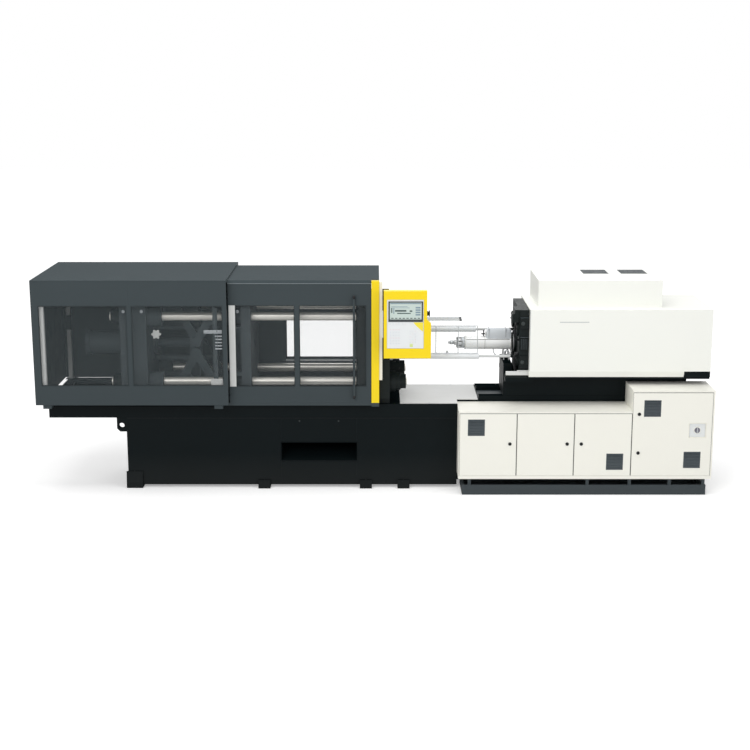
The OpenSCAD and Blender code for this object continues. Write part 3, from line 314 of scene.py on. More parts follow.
for material, names in (
        (guard_paint, "rear_guard guard_frame front_gate rear_gate"),
        (bed_paint, "clamp_base injection_base levelling_feet lifting_lugs carriage"),
        (cream_paint, "cabinet door_1 door_2 door_3 door_4"),
        (white_paint, "injection_cover"),
        (box_paint, "top_box"),
        (yellow_paint, "panel_housing"),
        (column_paint, "front_column"),
        (plinth_paint, "plinth"),
        (cast_paint, "tail_platen moving_platen clamp_cylinder crosshead thrust_unit "
                     "upper_rear_link lower_rear_link upper_front_link lower_front_link "
                     "upper_cross_link lower_cross_link oil_cooler"),
        (black_cast, "fixed_platen tie_bar_nuts"),
        (housing_cast, "injection_housing"),
        (steel, "ejector barrel nozzle injection_cylinders screw"),
        (pale_steel, "carriage_cylinders brackets"),
        (chrome, "tie_bars"),
        (light_sheet, "gate_post"),
        (cover_sheet, "barrel_cover"),
        (post_paint, "guard_posts"),
        (deck_sheet, "deck_plates"),
        (dark_pane, "rear_guard_panes"),
        (gate_pane, "front_gate_panes"),
        (clear_pane, "rear_gate_pane purge_guard"),
        (key_film, "keypad"),
        (screen_glass, "screen"),
        (braided, "barrel_hoses"),
        (switch_grey, "main_switch"),
        (black_plastic, "stop_button lock_1 lock_2 lock_3 lock_4 lock_5")):
    for name in names.split():
        nodes[name].data.materials.clear()
        nodes[name].data.materials.append(material)

# Shapes


def place(name, points, faces, material, body, slot, smooth=False):
    """Puts arrays of points and faces into a mesh that rides a body."""
    mesh = bpy.data.meshes.new(name)
    mesh.from_pydata([tuple(p) for p in points.tolist()], [], [tuple(f) for f in faces])
    mesh.update()
    if smooth:
        mesh.polygons.foreach_set("use_smooth", np.ones(len(mesh.polygons), bool))
    mesh.materials.append(material)
    piece = bpy.data.objects.new(name, mesh)
    bpy.context.scene.collection.objects.link(piece)
    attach(piece, body)
    return piece


def ring_faces(rings, around, closed=False):
    """Quads between neighbouring rings of points, and both end faces unless the last ring joins
    the first."""
    row = np.arange(rings if closed else rings - 1)[:, None]
    i, k = row * around, (row + 1) % rings * around
    j = np.arange(around)[None, :]
    after = (j + 1) % around
    faces = np.stack([i + j, i + after, k + after, k + j], axis=-1).reshape(-1, 4).tolist()
    if not closed:
        last = (rings - 1) * around
        faces += [list(range(around))[::-1], list(range(last, last + around))]
    return faces


CORNERS = np.array([[x, y, z] for x in (-1, 1) for y in (-1, 1) for z in (-1, 1)], float)
AXES = np.eye(3)


def cut_block_faces():
    """Six sides, twelve edge strips and eight corner triangles of a block with cut edges."""
    faces = []
    index = {tuple(c): i for i, c in enumerate(CORNERS.astype(int).tolist())}
    for a in range(3):
        b, c = (a + 1) % 3, (a + 2) % 3
        for s in (-1, 1):
            ring = []
            for u, v in ((-1, -1), (1, -1), (1, 1), (-1, 1)):
                k = [0, 0, 0]
                k[a], k[b], k[c] = s, u, v
                ring.append(index[tuple(k)] * 3 + a)
            faces.append(ring if s > 0 else ring[::-1])
        for u in (-1, 1):
            for v in (-1, 1):
                k0, k1 = [0, 0, 0], [0, 0, 0]
                k0[a], k0[b], k0[c] = -1, u, v
                k1[a], k1[b], k1[c] = 1, u, v
                i0, i1 = index[tuple(k0)] * 3, index[tuple(k1)] * 3
                strip = [i0 + b, i1 + b, i1 + c, i0 + c]
                faces.append(strip if u * v < 0 else strip[::-1])
    for k, i in index.items():
        tri = [i * 3, i * 3 + 1, i * 3 + 2]
        faces.append(tri if k[0] * k[1] * k[2] > 0 else tri[::-1])
    return faces


BLOCK_FACES = cut_block_faces()
BLOCK_POINTS = 24
MOST_CUT = 0.45


def blocks(name, boxes, material, body, slot, cut=0.001):
    """Blocks with cut edges, each given as x, x, y, y, z, z. A point is centre + corner sign x
    half size, less the cut on the two axes that its face doesn't look along. The cut takes at
    most a share of a thin block's half thickness."""
    b = np.array(boxes, float)
    lo, hi = np.minimum(b[:, 0::2], b[:, 1::2]), np.maximum(b[:, 0::2], b[:, 1::2])
    half, mid = (hi - lo) / 2.0, (hi + lo) / 2.0
    chop = np.minimum(cut, half.min(axis=1) * MOST_CUT)[:, None, None, None]
    pts = (mid[:, None, None, :] + CORNERS[None, :, None, :]
           * (half[:, None, None, :] - chop * (1.0 - AXES)[None, None, :, :]))
    faces = [[i + k * BLOCK_POINTS for i in f] for k in range(len(b)) for f in BLOCK_FACES]
    return place(name, pts.reshape(-1, 3), faces, material, body, slot)


def turned(name, profile, starts, way, material, body, slot, around=24, smooth=True,
           ring_shape=False):
    """Turned pieces: a profile of (along, radius) pairs carried round an axis, at each start
    point. A point is start + way x along + radius x (cos, sin) in the plane across. There is
    one way for all or one for each. The profile of a ring shape closes on itself and leaves
    its middle open."""
    prof = np.array(profile, float)
    starts = np.array(starts, float)
    ways = np.broadcast_to(np.array(way, float), starts.shape)
    ways = ways / np.linalg.norm(ways, axis=1)[:, None]
    helper = np.where(np.abs(ways[:, 2:3]) < 0.9, [[0.0, 0.0, 1.0]], [[1.0, 0.0, 0.0]])
    u = np.cross(helper, ways)
    u = u / np.linalg.norm(u, axis=1)[:, None]
    v = np.cross(ways, u)
    t = np.linspace(0.0, 2.0 * math.pi, around, endpoint=False)
    ring = np.cos(t)[:, None] * u[:, None, :] + np.sin(t)[:, None] * v[:, None, :]
    pts = (starts[:, None, None, :]
           + prof[None, :, 0, None, None] * ways[:, None, None, :]
           + prof[None, :, 1, None, None] * ring[:, None, :, :])
    one = ring_faces(len(prof), around, ring_shape)
    step = len(prof) * around
    faces = [[q + k * step for q in f] for k in range(len(starts)) for f in one]
    return place(name, pts.reshape(-1, 3), faces, material, body, slot, smooth)


def bolt_heads(name, spots, way, size, material, body, slot):
    """Six-sided heads on round washers: a profile carried round six sides, one per spot."""
    s = size
    washer = [(0.0, s * 1.25), (s * 0.18, s * 1.25), (s * 0.2, s * 1.18)]
    head = [(s * 0.2, s * 0.98), (s * 0.75, s * 0.98), (s * 0.86, s * 0.84)]
    turned(name + "_washers", washer, spots, way, material, body, slot, around=16, smooth=False)
    return turned(name, head, spots, way, material, body, slot, around=6, smooth=False)


def bolt_circle(centre, radius, count, first=0.0):
    """Points at even angles round a centre, in the plane across X."""
    a = np.arange(count) * 2.0 * math.pi / count + first
    x, y, z = centre
    return np.stack([0 * a + x, y + radius * np.cos(a), z + radius * np.sin(a)], axis=1).tolist()


def pipe(name, path, radius, material, around=12, steps=10):
    """A tube on the injection unit along a smooth line: Catmull-Rom points between the given
    ones, and at each a ring of the given radius in the plane across the line, with its frame
    carried along."""
    p = np.array(path, float)
    q = np.vstack([2 * p[0] - p[1], p, 2 * p[-1] - p[-2]])
    t = np.linspace(0.0, 1.0, steps, endpoint=False)[:, None]
    parts = []
    for a in range(len(p) - 1):
        p0, p1, p2, p3 = q[a], q[a + 1], q[a + 2], q[a + 3]
        parts.append(0.5 * (2 * p1 + (p2 - p0) * t + (2 * p0 - 5 * p1 + 4 * p2 - p3) * t ** 2
                            + (3 * p1 - p0 - 3 * p2 + p3) * t ** 3))
    line = np.vstack(parts + [p[-1:]])
    way = np.gradient(line, axis=0)
    way = way / np.linalg.norm(way, axis=1)[:, None]
    u = np.cross(way[0], (0.31, 0.95, 0.11))
    frames = []
    for w in way:
        u = u - w * np.dot(u, w)
        u = u / np.linalg.norm(u)
        frames.append(u)
    u = np.array(frames)
    v = np.cross(way, u)
    a = np.linspace(0.0, 2.0 * math.pi, around, endpoint=False)
    pts = (line[:, None, :] + radius * (np.cos(a)[None, :, None] * u[:, None, :]
                                        + np.sin(a)[None, :, None] * v[:, None, :]))
    return place(name, pts.reshape(-1, 3), ring_faces(len(line), around), material, UNIT,
                 "hose_rubber", True)


def strips_within(x0, x1, z0, z1, y0, y1, w):
    """Four strips of width w just inside a rectangle in the plane of Y."""
    return [(x0, x0 + w, y0, y1, z0, z1), (x1 - w, x1, y0, y1, z0, z1),
            (x0 + w, x1 - w, y0, y1, z0, z0 + w), (x0 + w, x1 - w, y0, y1, z1 - w, z1)]


def louvre(name, x, z, body, w=VENT_W):
    """A framed row of sloping blades. The four points of a blade's end are its middle height -
    and + the fall at the front and rear edge, - and + half its thickness."""
    y0, y1 = -0.6512, -0.6362
    blocks(name, strips_within(x, x + w, z, z + w, y0, y1, 0.009), vent_grey, body,
           "plinth_paint", 0.001)
    count, fall, half = 10, 0.0052, 0.0012
    mid = z + 0.010 + (np.arange(count) + 0.5) * (w - 0.020) / count
    pts = np.empty((count, 2, 4, 3))
    pts[..., 0] = np.array([x + 0.0085, x + w - 0.0085])[:, None]
    pts[..., 1] = np.array([y0 + 0.001, y1 - 0.001, y1 - 0.001, y0 + 0.001])
    pts[..., 2] = (mid[:, None, None] + fall * np.array([-1, 1, 1, -1])
                   + half * np.array([-1, -1, 1, 1]))
    blade = [[0, 3, 2, 1], [4, 5, 6, 7]]
    blade += [[i, (i + 1) % 4, 4 + (i + 1) % 4, 4 + i] for i in range(4)]
    faces = [[i + 8 * k for i in f] for k in range(count) for f in blade]
    place(name + "_blades", pts.reshape(-1, 3), faces, vent_grey, body, "plinth_paint")


def star_knob(name, at, r, n=48):
    """A star handle that looks along -Y: rings of radius r (1 + 0.2 cos 6t), stepped forward."""
    t = np.linspace(0.0, 2.0 * math.pi, n, endpoint=False)
    stem, lobes = 0.40 + 0 * t, 1.0 + 0.2 * np.cos(6.0 * t)
    rings = [(0.0, stem), (0.006, stem), (0.006, 0.86 * lobes), (0.008, lobes),
             (0.018, lobes), (0.021, 0.80 * lobes)]
    pts = np.concatenate([np.stack([at[0] + r * k * np.cos(t), at[1] - d + 0 * t,
                                    at[2] + r * k * np.sin(t)], axis=1) for d, k in rings])
    place(name, pts, ring_faces(len(rings), n), light_sheet, BED, "light_sheet")


def corner_patch(x, z, size, y0, y1, n=9):
    """The yellow corner of the key foil: a flat piece between a level top edge and a lower edge
    that falls as size x t to the power of 0.8, with t from 0 to 1 along X."""
    t = np.linspace(0.0, 1.0, n)
    top = np.stack([x + size * t, 0 * t, 0 * t + z], axis=1)
    low = np.stack([x + size * t, 0 * t, z - size * t ** 0.8], axis=1)
    low[0, 2] -= 0.0005
    pts = np.concatenate([np.concatenate([top, low]) + [0, y, 0] for y in (y0, y1)])
    b = 2 * n
    faces = [[i, i + n, i + n + 1, i + 1] for i in range(n - 1)]
    faces += [[b + i, b + i + 1, b + i + n + 1, b + i + n] for i in range(n - 1)]
    faces += [[i, i + 1, b + i + 1, b + i] for i in range(n - 1)]
    faces += [[n + i, b + n + i, b + n + 1 + i, n + 1 + i] for i in range(n - 1)]
    faces += [[0, b, b + n, n], [n - 1, b - 1, b + b - 1, b + n - 1]]
    place("corner_patch", pts, faces, patch_yellow, BED, "keypad_film")


def cylinder_hood():
    """The hood over the shut-off cylinder: arches across X with y = 0.048 k cos t to the power
    of 0.6 and z = 0.106 k sin t to the power of 0.55 above its foot, where k is 1 in the middle
    and smaller towards both ends."""
    n, foot_z = 17, 1.388
    t = np.linspace(0.0, math.pi, n)
    x = np.array([1.079, 1.086, 1.105, 1.298, 1.317, 1.324])[:, None]
    k = np.array([0.72, 0.93, 1.0, 1.0, 0.93, 0.80])[:, None]
    y = -0.048 * k * np.sign(np.cos(t)) * np.abs(np.cos(t)) ** 0.6
    z = foot_z + 0.106 * k * np.sin(t) ** 0.55
    pts = np.stack([np.repeat(x, n, axis=1), y, z], axis=-1).reshape(-1, 3)
    rows = len(x) - 1
    faces = [[i * n + j, (i + 1) * n + j, (i + 1) * n + j + 1, i * n + j + 1]
             for i in range(rows) for j in range(n - 1)]
    faces += [list(range(n)), list(range(rows * n, (rows + 1) * n))[::-1]]
    faces += [[i * n + n - 1, (i + 1) * n + n - 1, (i + 1) * n, i * n] for i in range(rows)]
    place("cylinder_hood", pts, faces, hood_grey, UNIT, "light_sheet")


# Details


def guard_details():
    """Seals round the windows, folded sheet edges, and the pieces beside the gate's post."""
    strips = []
    for x0, x1 in ((-3.122, -2.302), (-2.263, -1.414)):
        strips += strips_within(x0, x1, 1.054, 1.816, -0.6142, -0.6085, 0.009)
    blocks("guard_window_seals", strips, inner_paint, BED, "black_plastic", 0.001)
    long, short = (-3.185, -1.377, -0.6162, -0.6120), (-2.2835, -2.2815, -0.6156, -0.6120)
    edges = [(*long, 2.0420, 2.0518), (*long, 0.8692, 0.8760),
             (*short, 0.8770, 1.0530), (*short, 1.8170, 2.0410)]
    blocks("guard_folded_edges", edges, guard_paint, BED, "guard_paint", 0.002)
    blocks("sensor_rail", [(-1.595, -1.419, -0.5985, -0.5845, 1.5500, 1.5830)],
           zinc, BED, "light_sheet", 0.003)
    fins = [(-1.490, -1.419, -0.5980, -0.5845, z, z + 0.011) for z in 1.400 + 0.030 * np.arange(5)]
    blocks("distributor_fins", fins, zinc, BED, "light_sheet", 0.002)
    blocks("window_shelf", [(-1.538, -1.419, -0.5980, -0.5850, 1.056, 1.120)], light_sheet, BED,
           "light_sheet", 0.004)


def guard_floor():
    """Dark sheets that close the guard below, on the rails and beside the bed, and the clamp of
    a rear post."""
    level = (0.8335, 0.8375)
    sheets = [(-3.040, -2.405, -0.520, 0.514, *level), (-2.403, -1.515, 0.414, 0.514, *level),
              (-2.403, -1.515, -0.520, -0.414, *level),
              (-3.150, -1.515, 0.516, 0.5895, 0.8625, 0.8665)]
    blocks("guard_floor", sheets, bed_paint, BED, "bed_paint", 0.001)
    blocks("post_clamp", [(-3.128, -3.072, 0.5350, 0.5435, 1.372, 1.520)], inner_paint, BED,
           "guard_paint", 0.002)


def rear_side_details():
    """Sheet joints and screws on the guard's back and left end."""
    joints = [(-2.292, -2.284, 0.6128, 0.6149, 0.880, 2.040),
              (-3.17, -1.39, 0.6128, 0.6149, 1.000, 1.006)]
    blocks("rear_sheet_joints", joints, inner_paint, BED, "guard_paint", 0.001)
    rows = (0.93, 1.985)
    spots = [(x, 0.6135, z) for x in np.linspace(-3.13, -1.43, 12) for z in rows]
    turned("rear_sheet_screws", [(0, 0.0075), (0.0012, 0.0062), (0.0014, 0.003)], spots, TO_REAR,
           zinc, BED, "light_sheet", around=10, smooth=False)
    spots = [(-3.1845, y, z) for y in np.linspace(-0.55, 0.55, 7) for z in rows]
    turned("end_sheet_screws", [(0, 0.0075), (0.0010, 0.0062), (0.0013, 0.003)], spots, TO_LEFT,
           zinc, BED, "light_sheet", around=10, smooth=False)


def gate_details():
    """Seals round the panes, light sills, the rear track's face, a painted highlight on the roof's
    front fold, and caps on the handles."""
    strips = []
    for x0, x1 in ((-1.307, -0.752), (-0.710, -0.080)):
        strips += strips_within(x0, x1, 1.026, 1.804, -0.514, -0.5035, 0.008)
    blocks("gate_window_seals", strips, inner_paint, "front_gate", "black_plastic", 0.001)
    blocks("rear_gate_window_seal",
           strips_within(-0.900, -0.182, 1.093, 1.524, 0.4920, 0.5140, 0.010), seal,
           "rear_gate", "black_plastic", 0.001)
    sills = [(-0.900, -0.182, 0.4755, 0.4798, 1.062, 1.081),
             (-0.900, -0.090, 0.4755, 0.4798, 0.996, 1.026)]
    blocks("rear_gate_sills", sills, pale_steel, "rear_gate", "light_sheet", 0.001)
    blocks("rear_track_face", [(-1.185, -0.060, 0.4760, 0.4797, 0.836, 0.862)], pale_steel, BED,
           "light_sheet", 0.001)
    # Painted highlight along the roof's front fold, lighter than the guard paint.
    blocks("roof_front_fold_highlight", [(-1.372, -0.035, -0.5165, -0.5120, 2.0060, 2.0110)], painted_fold_highlight,
           BED, "guard_paint", 0.001)
    for body, y in (("front_gate", -0.545), ("rear_gate", 0.545)):
        turned(body + "_handle_caps", [(0, 0.0122), (0.028, 0.0122), (0.031, 0.009)],
               [(-0.196, y, 0.945), (-0.196, y, 1.870)], [(0, 0, -1), UP], black_plastic,
               body, "black_plastic")


def panel_details():
    """Display with a plain made-up layout, keys in groups, the foil's corner and edge, and the
    collar and cap of the stop button."""
    blocks("display_face", [(0.1365, 0.4315, -0.6386, -0.6368, 1.6925, 1.8515)], glow_face, BED,
           "screen_plastic", 0.0006)
    ink = (-0.6392, -0.6380)
    dark = [(0.185, 0.290, *ink, 1.766, 1.782), (0.205, 0.330, *ink, 1.745, 1.755),
            (0.150, 0.160, *ink, 1.755, 1.800), (0.320, 0.345, *ink, 1.764, 1.778)]
    dark += [(0.150 + 0.035 * i, 0.172 + 0.035 * i, *ink, 1.700, 1.708) for i in range(8)]
    blocks("display_marks", dark, ink_dark, BED, "screen_plastic", 0.0003)
    pale = [(0.142, 0.426, *ink, 1.838, 1.847), (0.170, 0.178, *ink, 1.745, 1.800)]
    pale += [(0.150, 0.300 + 0.02 * i, *ink, 1.812 - 0.012 * i, 1.816 - 0.012 * i)
             for i in range(2)]
    pale += [(0.375, 0.420, *ink, 1.730 + 0.022 * i, 1.744 + 0.022 * i) for i in range(4)]
    blocks("display_fields", pale, ink_blue, BED, "screen_plastic", 0.0003)
    raised = (-0.6402, -0.6388)
    keys = []
    for columns, rows, x, z, step, w in ((4, 6, 0.135, 1.458, 0.026, 0.018),
                                         (3, 5, 0.318, 1.470, 0.024, 0.016)):
        keys += [(x + step * i, x + w + step * i, *raised, z + 0.026 * j, z + 0.018 + 0.026 * j)
                 for i in range(columns) for j in range(rows)]
    keys += [(0.132 + 0.028 * i, 0.152 + 0.028 * i, *raised, 1.642, 1.656) for i in range(6)]
    blocks("key_plates", keys, key_film, BED, "keypad_film", 0.0006)
    marks = [(x0 + 0.005, x1 - 0.005, -0.6406, -0.6398, z0 + 0.006, z1 - 0.006)
             for x0, x1, _, _, z0, z1 in keys]
    blocks("key_marks", marks[0::3] + marks[1::3], key_grey, BED, "keypad_film", 0.0002)
    blocks("key_marks_rose", marks[2::3], key_rose, BED, "keypad_film", 0.0002)
    lime = (0.322, 0.352, -0.6404, -0.6388)
    blocks("key_marks_lime", [(*lime, 1.436, 1.450), (*lime, 1.455, 1.463)], key_lime, BED,
           "keypad_film", 0.0004)
    corner_patch(0.357, 1.6655, 0.088, -0.6404, -0.6388)
    blocks("foil_edge", strips_within(0.110, 0.452, 1.419, 1.878, -0.6406, -0.6395, 0.003),
           soft_grey, BED, "keypad_film", 0.0004)
    turned("stop_collar", [(0, 0.0245), (0.006, 0.0245), (0.0075, 0.019)],
           [(0.4818, -0.600, 1.742)], TO_RIGHT, black_plastic, BED, "black_plastic")
    turned("stop_cap", [(0, 0.0195), (0.0010, 0.0275), (0.0040, 0.0300), (0.0090, 0.0290),
                        (0.0115, 0.0195)], [(0.4985, -0.600, 1.742)], TO_RIGHT, black_plastic,
           "stop_button", "black_plastic")
    blocks("panel_back_edge", [(0.0765, 0.0812, -0.639, -0.561, 1.3255, 1.9575)], black_plastic,
           BED, "black_plastic", 0.001)


def cabinet_details():
    """Darker edges of the doors, which are painted shade along the gaps, dark seals between the
    doors, whose darkness also stands in for the shade in the gaps, louvres, and plate, frame,
    ring and grip of the main switch."""
    face = (-0.6505, -0.6485)
    for name, x0, x1, top in (("door_1", 0.796, 1.333, 0.798), ("door_2", 1.337, 1.874, 0.798),
                              ("door_3", 1.878, 2.415, 0.798), ("door_4", 2.419, 3.169, 1.000)):
        # Grey strips on the doors' edges: painted shade along the gaps.
        trim = [(x0 + 0.0001, x0 + 0.0028, *face, 0.194, top - 0.001),
                (x1 - 0.0028, x1 - 0.0001, *face, 0.194, top - 0.001),
                (x0 + 0.003, x1 - 0.003, *face, top - 0.004, top - 0.0002)]
        blocks(name + "_edge", trim, seam_grey, name, "black_plastic", 0.0005)
    # Dark seals in the gaps between and above the doors; their dark colour also stands in for the
    # shade in the gaps.
    seals = [(x - 0.0034, x - 0.0006, -0.648, -0.6275, 0.194, 0.797)
             for x in (1.337, 1.878, 2.419)]
    seals += [(0.792, 2.416, -0.6490, -0.6275, 0.7984, 0.7999),
              (2.420, 3.168, -0.6490, -0.6275, 1.0004, 1.0019)]
    blocks("door_seals_and_gap_shade", seals, seal, BED, "black_plastic", 0.0004)
    for name, x, z in DOOR_VENTS:
        louvre(name + "_louvre_" + str(int(x * 1000)), x, z, name)
    blocks("switch_plate", [(2.951, 3.116, -0.6336, -0.6321, 0.562, 0.706)], key_film, "door_4",
           "light_sheet", 0.0006)
    blocks("switch_frame", strips_within(2.950, 3.117, 0.561, 0.707, -0.6505, -0.6330, 0.006),
           column_paint, "door_4", "cream_paint", 0.001)
    turned("switch_ring", [(0, 0.038), (0.0035, 0.0365), (0.004, 0.029)],
           [(3.0335, -0.6336, 0.634)], TO_FRONT, white_paint, "door_4", "cream_paint")
    blocks("switch_grip", [(3.027, 3.040, -0.6492, -0.6435, 0.609, 0.659)], soft_grey,
           "main_switch", "light_sheet", 0.0015)


def cover_details():
    """Slot, sheet edges and roof louvres of the injection cover."""
    blocks("cover_slot", [(1.743, 2.020, -0.4058, -0.4035, 1.6205, 1.6270)], soft_grey, UNIT,
           "light_sheet", 0.0008)
    blocks("cover_end_edge", [(1.4622, 1.4672, -0.4056, -0.3990, 1.150, 1.739)], soft_grey,
           UNIT, "light_sheet", 0.001)
    blocks("cover_roof_edge", [(1.464, 3.185, -0.4056, -0.3995, 1.7360, 1.7406)], white_paint,
           UNIT, "cream_paint", 0.001)
    slats = [(x0 + 0.002, x1 - 0.002, 0.181 + 0.038 * i, 0.199 + 0.038 * i, 1.9915, 1.9945)
             for x0, x1 in ROOF_VENTS for i in range(7)]
    blocks("roof_louvres", slats, seal, UNIT, "black_plastic", 0.0006)


def open_ring(name, places, profile, material, slot, around=24):
    """A turned ring round the barrel's axis at each place along X, open in the middle."""
    turned(name, profile, [(x, 0, AXIS_Z) for x in places], TO_RIGHT, material, UNIT, slot,
           around=around, ring_shape=True)


def barrel_details():
    """Head, heaters and rings round the barrel, the cover's seam, the hood over the shut-off
    cylinder with its seams and valve, and hoses."""
    open_ring("barrel_head", [0.800], [(0, 0.0455), (0, 0.0495), (0.002, 0.0515),
                                       (0.040, 0.0515), (0.042, 0.0478)],
              steel, "machined_steel", 36)
    open_ring("head_rim", [0.7955], [(0, 0.0455), (0, 0.0535), (0.006, 0.0535),
                                     (0.006, 0.0455)], seam_dark, "black_plastic", 36)
    turned("head_screws", [(0, 0.0075), (0.045, 0.0075), (0.047, 0.006)],
           bolt_circle((0.7965, 0, AXIS_Z), 0.0465, 8, math.pi / 8.0), TO_RIGHT, black_bolt,
           UNIT, "black_plastic", around=10, smooth=False)
    open_ring("nozzle_heater", [0.730], [(0, 0.0145), (0, 0.0195), (0.030, 0.0195),
                                         (0.030, 0.0145)], zinc, "light_sheet")
    open_ring("barrel_heater", [0.846], [(0, 0.0482), (0, 0.0555), (0.022, 0.0555),
                                         (0.022, 0.0482)], zinc, "light_sheet", 32)
    open_ring("cover_rings", [0.872, 1.060, 1.312], [(0, 0.0650), (0.0008, 0.0668),
                                                     (0.0112, 0.0668), (0.012, 0.0650)],
              light_sheet, "light_sheet", 40)
    open_ring("flange_ring", [1.3270], [(0, 0.0655), (0, 0.0965), (0.002, 0.0985),
                                        (0.020, 0.0985), (0.020, 0.0952), (0.0008, 0.0952),
                                        (0.0008, 0.0655)], cover_sheet, "light_sheet", 40)
    blocks("cover_seam", [(0.885, 1.310, -0.0545, -0.0490, 1.3880, 1.3920)], seal, UNIT,
           "black_plastic", 0.001)
    cylinder_hood()
    blocks("hood_seams", [(x, x + 0.003, -0.0488, 0.0488, 1.410, 1.4950)
                          for x in (1.104, 1.268)], seam_grey, UNIT, "black_plastic", 0.0008)
    blocks("valve_cross", [(1.034, 1.078, -0.012, 0.012, 1.430, 1.440),
                           (1.051, 1.061, -0.012, 0.012, 1.414, 1.474)], black_plastic, UNIT,
           "black_plastic", 0.002)
    pipe("front_hose_loop", [(1.150, -0.030, 1.292), (1.153, -0.052, 1.262),
                             (1.182, -0.060, 1.233), (1.228, -0.060, 1.222),
                             (1.262, -0.046, 1.236), (1.274, -0.020, 1.268)], 0.006, braided)
    pipe("housing_hose", [(1.352, -0.150, 1.520), (1.320, -0.180, 1.470),
                          (1.318, -0.190, 1.380), (1.325, -0.185, 1.280),
                          (1.352, -0.150, 1.240)], 0.010, rubber)


def housing_details():
    """Bolts, ribs, covers and pipes that give the black casting its outline, and light grey strips
    on its ledges and fins, which are painted highlights.
    """
    spots = []
    for s in (-1, 1):
        y, rod_z = s * 0.230, AXIS_Z + s * 0.088
        caps = bolt_circle((1.3505, y, 1.540), 0.062, 6) + bolt_circle((1.3505, y, 1.220), 0.054, 6)
        spots += [at for at in caps if math.hypot(at[1] - y, at[2] - rod_z) > 0.058]
    bolt_heads("cylinder_cap_bolts", spots, TO_LEFT, 0.009, black_bolt, UNIT, "black_plastic")
    back = -0.3385
    ribs = [(1.374, 1.4615, -0.3462, back, 1.664, 1.722),
            (1.376, 1.4615, -0.3540, back, 1.548, 1.650),
            (1.378, 1.4500, -0.3560, back, 1.343, 1.461),
            (1.374, 1.4615, -0.3500, back, 1.165, 1.288)]
    blocks("housing_ribs", ribs, black_cast, UNIT, "bed_paint", 0.005)
    # Light grey strips on the ledges and upright fins: painted highlights where their edges catch
    # the light.
    ledge_highlights = [(1.376, 1.455, -0.3545, back, 1.6530, 1.6565),
              (1.378, 1.460, -0.3565, back, 1.4660, 1.4690)]
    ledge_highlights += [(x, x + 0.003, -0.3580, -0.3550, 1.352, 1.452)
               for x in (1.388, 1.405, 1.422, 1.439)]
    blocks("housing_ledge_highlights", ledge_highlights, vent_grey, UNIT, "bed_paint", 0.0008)
    turned("housing_eyes", [(0, 0.019), (0.006, 0.019), (0.008, 0.016)],
           [(1.402, -0.3540, 1.600), (1.402, -0.3500, 1.226)], TO_FRONT, seam_dark, UNIT,
           "black_plastic")
    blocks("ledge_plate", [(1.246, 1.474, -0.362, -0.341, 1.1015, 1.1390),
                           (1.352, 1.474, -0.368, -0.341, 1.1395, 1.1480)], light_sheet, UNIT,
           "light_sheet", 0.003)
    blocks("ledge_carrier", [(1.246, 1.462, -0.3415, -0.220, 1.0712, 1.1010)], black_cast, UNIT,
           "bed_paint", 0.003)
    spots = [(x, -0.3500, z) for x in (1.386, 1.452) for z in (1.176, 1.277)]
    spots += [(x, -0.3540, z) for x in (1.387, 1.451) for z in (1.559, 1.639)]
    bolt_heads("housing_front_bolts", spots, TO_FRONT, 0.0065, black_bolt, UNIT,
               "black_plastic")
    pipe("housing_pipe_a", [(1.352, -0.286, 1.600), (1.334, -0.290, 1.560),
                            (1.330, -0.292, 1.480), (1.340, -0.292, 1.440),
                            (1.370, -0.288, 1.430)], 0.010, black_bolt)
    pipe("housing_pipe_b", [(1.368, -0.300, 1.300), (1.335, -0.302, 1.285),
                            (1.326, -0.302, 1.220), (1.338, -0.300, 1.150),
                            (1.345, -0.298, 1.102)], 0.012, black_bolt)


def purge_details():
    """Frame strips and knob of the clear guard over the nozzle, and bolts of its rail."""
    level, upright, deep = (0.317, 0.984, -0.2535, -0.2480), (1.300, 1.553), (-0.2525, -0.2445)
    strips = [(*level, 1.5560, 1.5635), (*level, 1.2925, 1.2985),
              (0.578, 0.586, -0.2525, -0.2495, *upright),
              (0.791, 0.799, -0.2525, -0.2495, *upright),
              (0.977, 0.984, *deep, *upright), (0.317, 0.324, *deep, *upright)]
    blocks("purge_frame", strips, soft_grey, "purge_guard", "light_sheet", 0.0012)
    turned("purge_knob", [(0, 0.006), (0.008, 0.006), (0.010, 0.011), (0.020, 0.012),
                          (0.024, 0.009)], [(0.690, -0.2500, 1.312)], TO_FRONT, soft_grey,
           "purge_guard", "light_sheet")
    turned("rail_bolts", [(0, 0.012), (0.010, 0.012), (0.012, 0.009)],
           [(0.842, 0.236, 1.548), (0.848, 0.236, 1.528)], TO_FRONT, black_bolt, BED,
           "black_plastic", around=12, smooth=False)


def bed_details():
    """Bolts, jack screws, a painted highlight along the crease, chute rim and deck screws of the
    beds.
    """
    bolt_heads("bed_front_bolts", [(x, -BED_HALF, 0.662) for x in (-0.723, -0.349)], TO_FRONT,
               0.007, seam_dark, BED, "light_sheet")
    spots = [(x, s * 0.408, 0.0780) for x in (-1.067, -0.088, 0.275) for s in (-1, 1)]
    spots += [(-2.318, s * 0.4048, 0.1640) for s in (-1, 1)]
    bolt_heads("jack_screws", spots, UP, 0.0042, black_bolt, BED, "black_plastic")
    # A slightly lighter, glossier strip along the bed's crease: a painted highlight where the bend
    # catches the light.
    blocks("bed_crease_highlight", [(-2.3795, 0.787, -0.4008, -0.3992, 0.6890, 0.6925)], black_bolt, BED,
           "bed_paint", 0.0005)
    blocks("chute_rim", strips_within(-0.906, -0.169, 0.258, 0.455, -0.4035, -0.3990, 0.006),
           bed_paint, BED, "bed_paint", 0.001)
    spots = [(x, s * 0.385, 0.8385) for x in (0.27, 0.52, 0.76) for s in (-1, 1)]
    turned("deck_screws", [(0, 0.008), (0.0012, 0.0072), (0.0014, 0.004)], spots, UP, zinc, BED,
           "light_sheet", around=10, smooth=False)


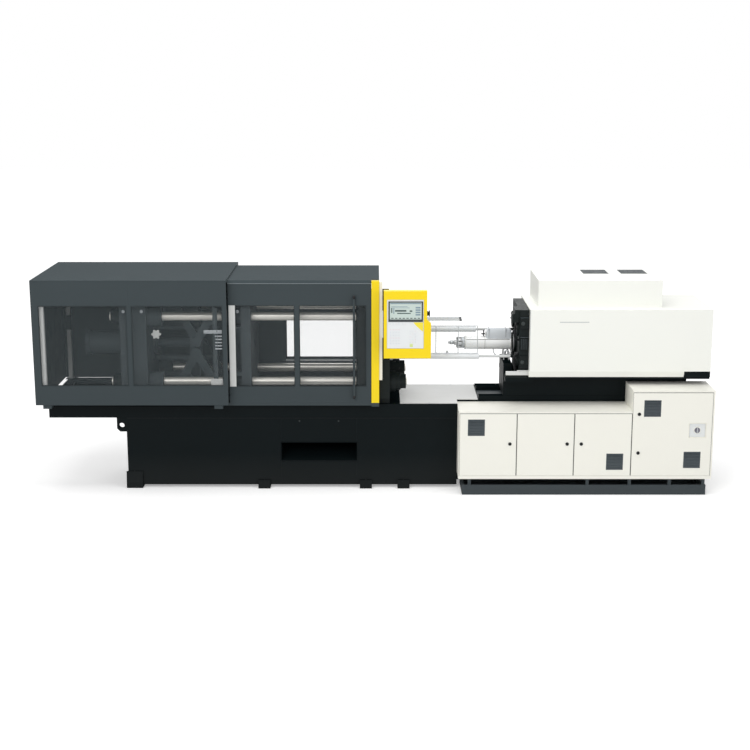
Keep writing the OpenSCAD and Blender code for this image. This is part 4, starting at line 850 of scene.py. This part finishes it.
def clamp_details():
    """Bolts round the tie bars' nuts, and bolts and a star knob on the castings' front faces."""
    spots = []
    for sy in (-1, 1):
        for sz in (-1, 1):
            centre = (0.2405, sy * BAR_STEP, AXIS_Z + sz * BAR_STEP)
            spots += bolt_circle(centre, 0.074, 6)
    bolt_heads("nut_flange_bolts", spots, TO_RIGHT, 0.008, black_bolt, BED, "black_plastic")
    star_knob("tail_knob", (-2.0560, -CASTING_HALF, 1.521), 0.040)
    rows = (0.960, 1.735)
    spots = [(x, -CASTING_HALF, z) for x in (-2.360, -2.190) for z in rows]
    bolt_heads("tail_front_bolts", spots, TO_FRONT, 0.012, zinc, BED, "light_sheet")
    spots = [(-1.290, -CASTING_HALF, z) for z in rows]
    bolt_heads("platen_side_bolts", spots, TO_FRONT, 0.012, zinc, "moving_platen",
               "light_sheet")


def cooler_details():
    """Flange bolts of the oil cooler, and bolts along the rear of the bed."""
    spots = []
    for x in (1.1800, 2.2700):
        spots += bolt_circle((x, 0.560, 0.520), 0.082, 8)
    bolt_heads("cooler_bolts", spots, TO_LEFT, 0.007, zinc, BED, "light_sheet")
    spots = [(x, BED_HALF, z) for x in np.linspace(0.95, 2.95, 6) for z in (0.14, 0.76)]
    bolt_heads("rear_bed_bolts", spots, TO_REAR, 0.009, black_bolt, BED, "black_plastic")


guard_details()
guard_floor()
rear_side_details()
gate_details()
panel_details()
cabinet_details()
cover_details()
barrel_details()
housing_details()
purge_details()
bed_details()
clamp_details()
cooler_details()

# Floor


def pale_floor():
    """A wide flat floor whose own glow towards the camera makes it white outside the shadow.
    The glow grows with the distance from the machine, where the lamps give less light."""
    g, z = 40.0, -0.0015
    mesh = bpy.data.meshes.new("floor")
    mesh.from_pydata([(-g, -g, z), (g, -g, z), (g, g, z), (-g, g, z)], [], [(0, 1, 2, 3)])
    floor = bpy.data.objects.new("floor", mesh)
    bpy.context.scene.collection.objects.link(floor)
    m = bpy.data.materials.new("floor_white")
    tree = empty_tree(m)
    dull = node(tree, "BsdfDiffuse", {"Color": (0.84, 0.84, 0.84, 1.0)})
    at = node(tree, "TexCoord").outputs["Object"]
    away = node(tree, "VectorMath", {0: at}, operation="LENGTH").outputs["Value"]
    fade = node(tree, "MapRange", {"Value": away, "From Min": 3.0, "From Max": 9.0,
                                   "To Min": 0.34, "To Max": 0.62})
    glow = node(tree, "Emission", {"Color": WHITE, "Strength": fade.outputs[0]})
    none = node(tree, "Emission", {"Strength": 0.0})
    seen = node(tree, "LightPath").outputs["Is Camera Ray"]
    pick = node(tree, "MixShader", {"Fac": seen, 1: none.outputs[0], 2: glow.outputs[0]})
    both = node(tree, "AddShader", {0: dull.outputs[0], 1: pick.outputs[0]})
    node(tree, "OutputMaterial", {"Surface": both.outputs[0]})
    mesh.materials.append(m)


pale_floor()
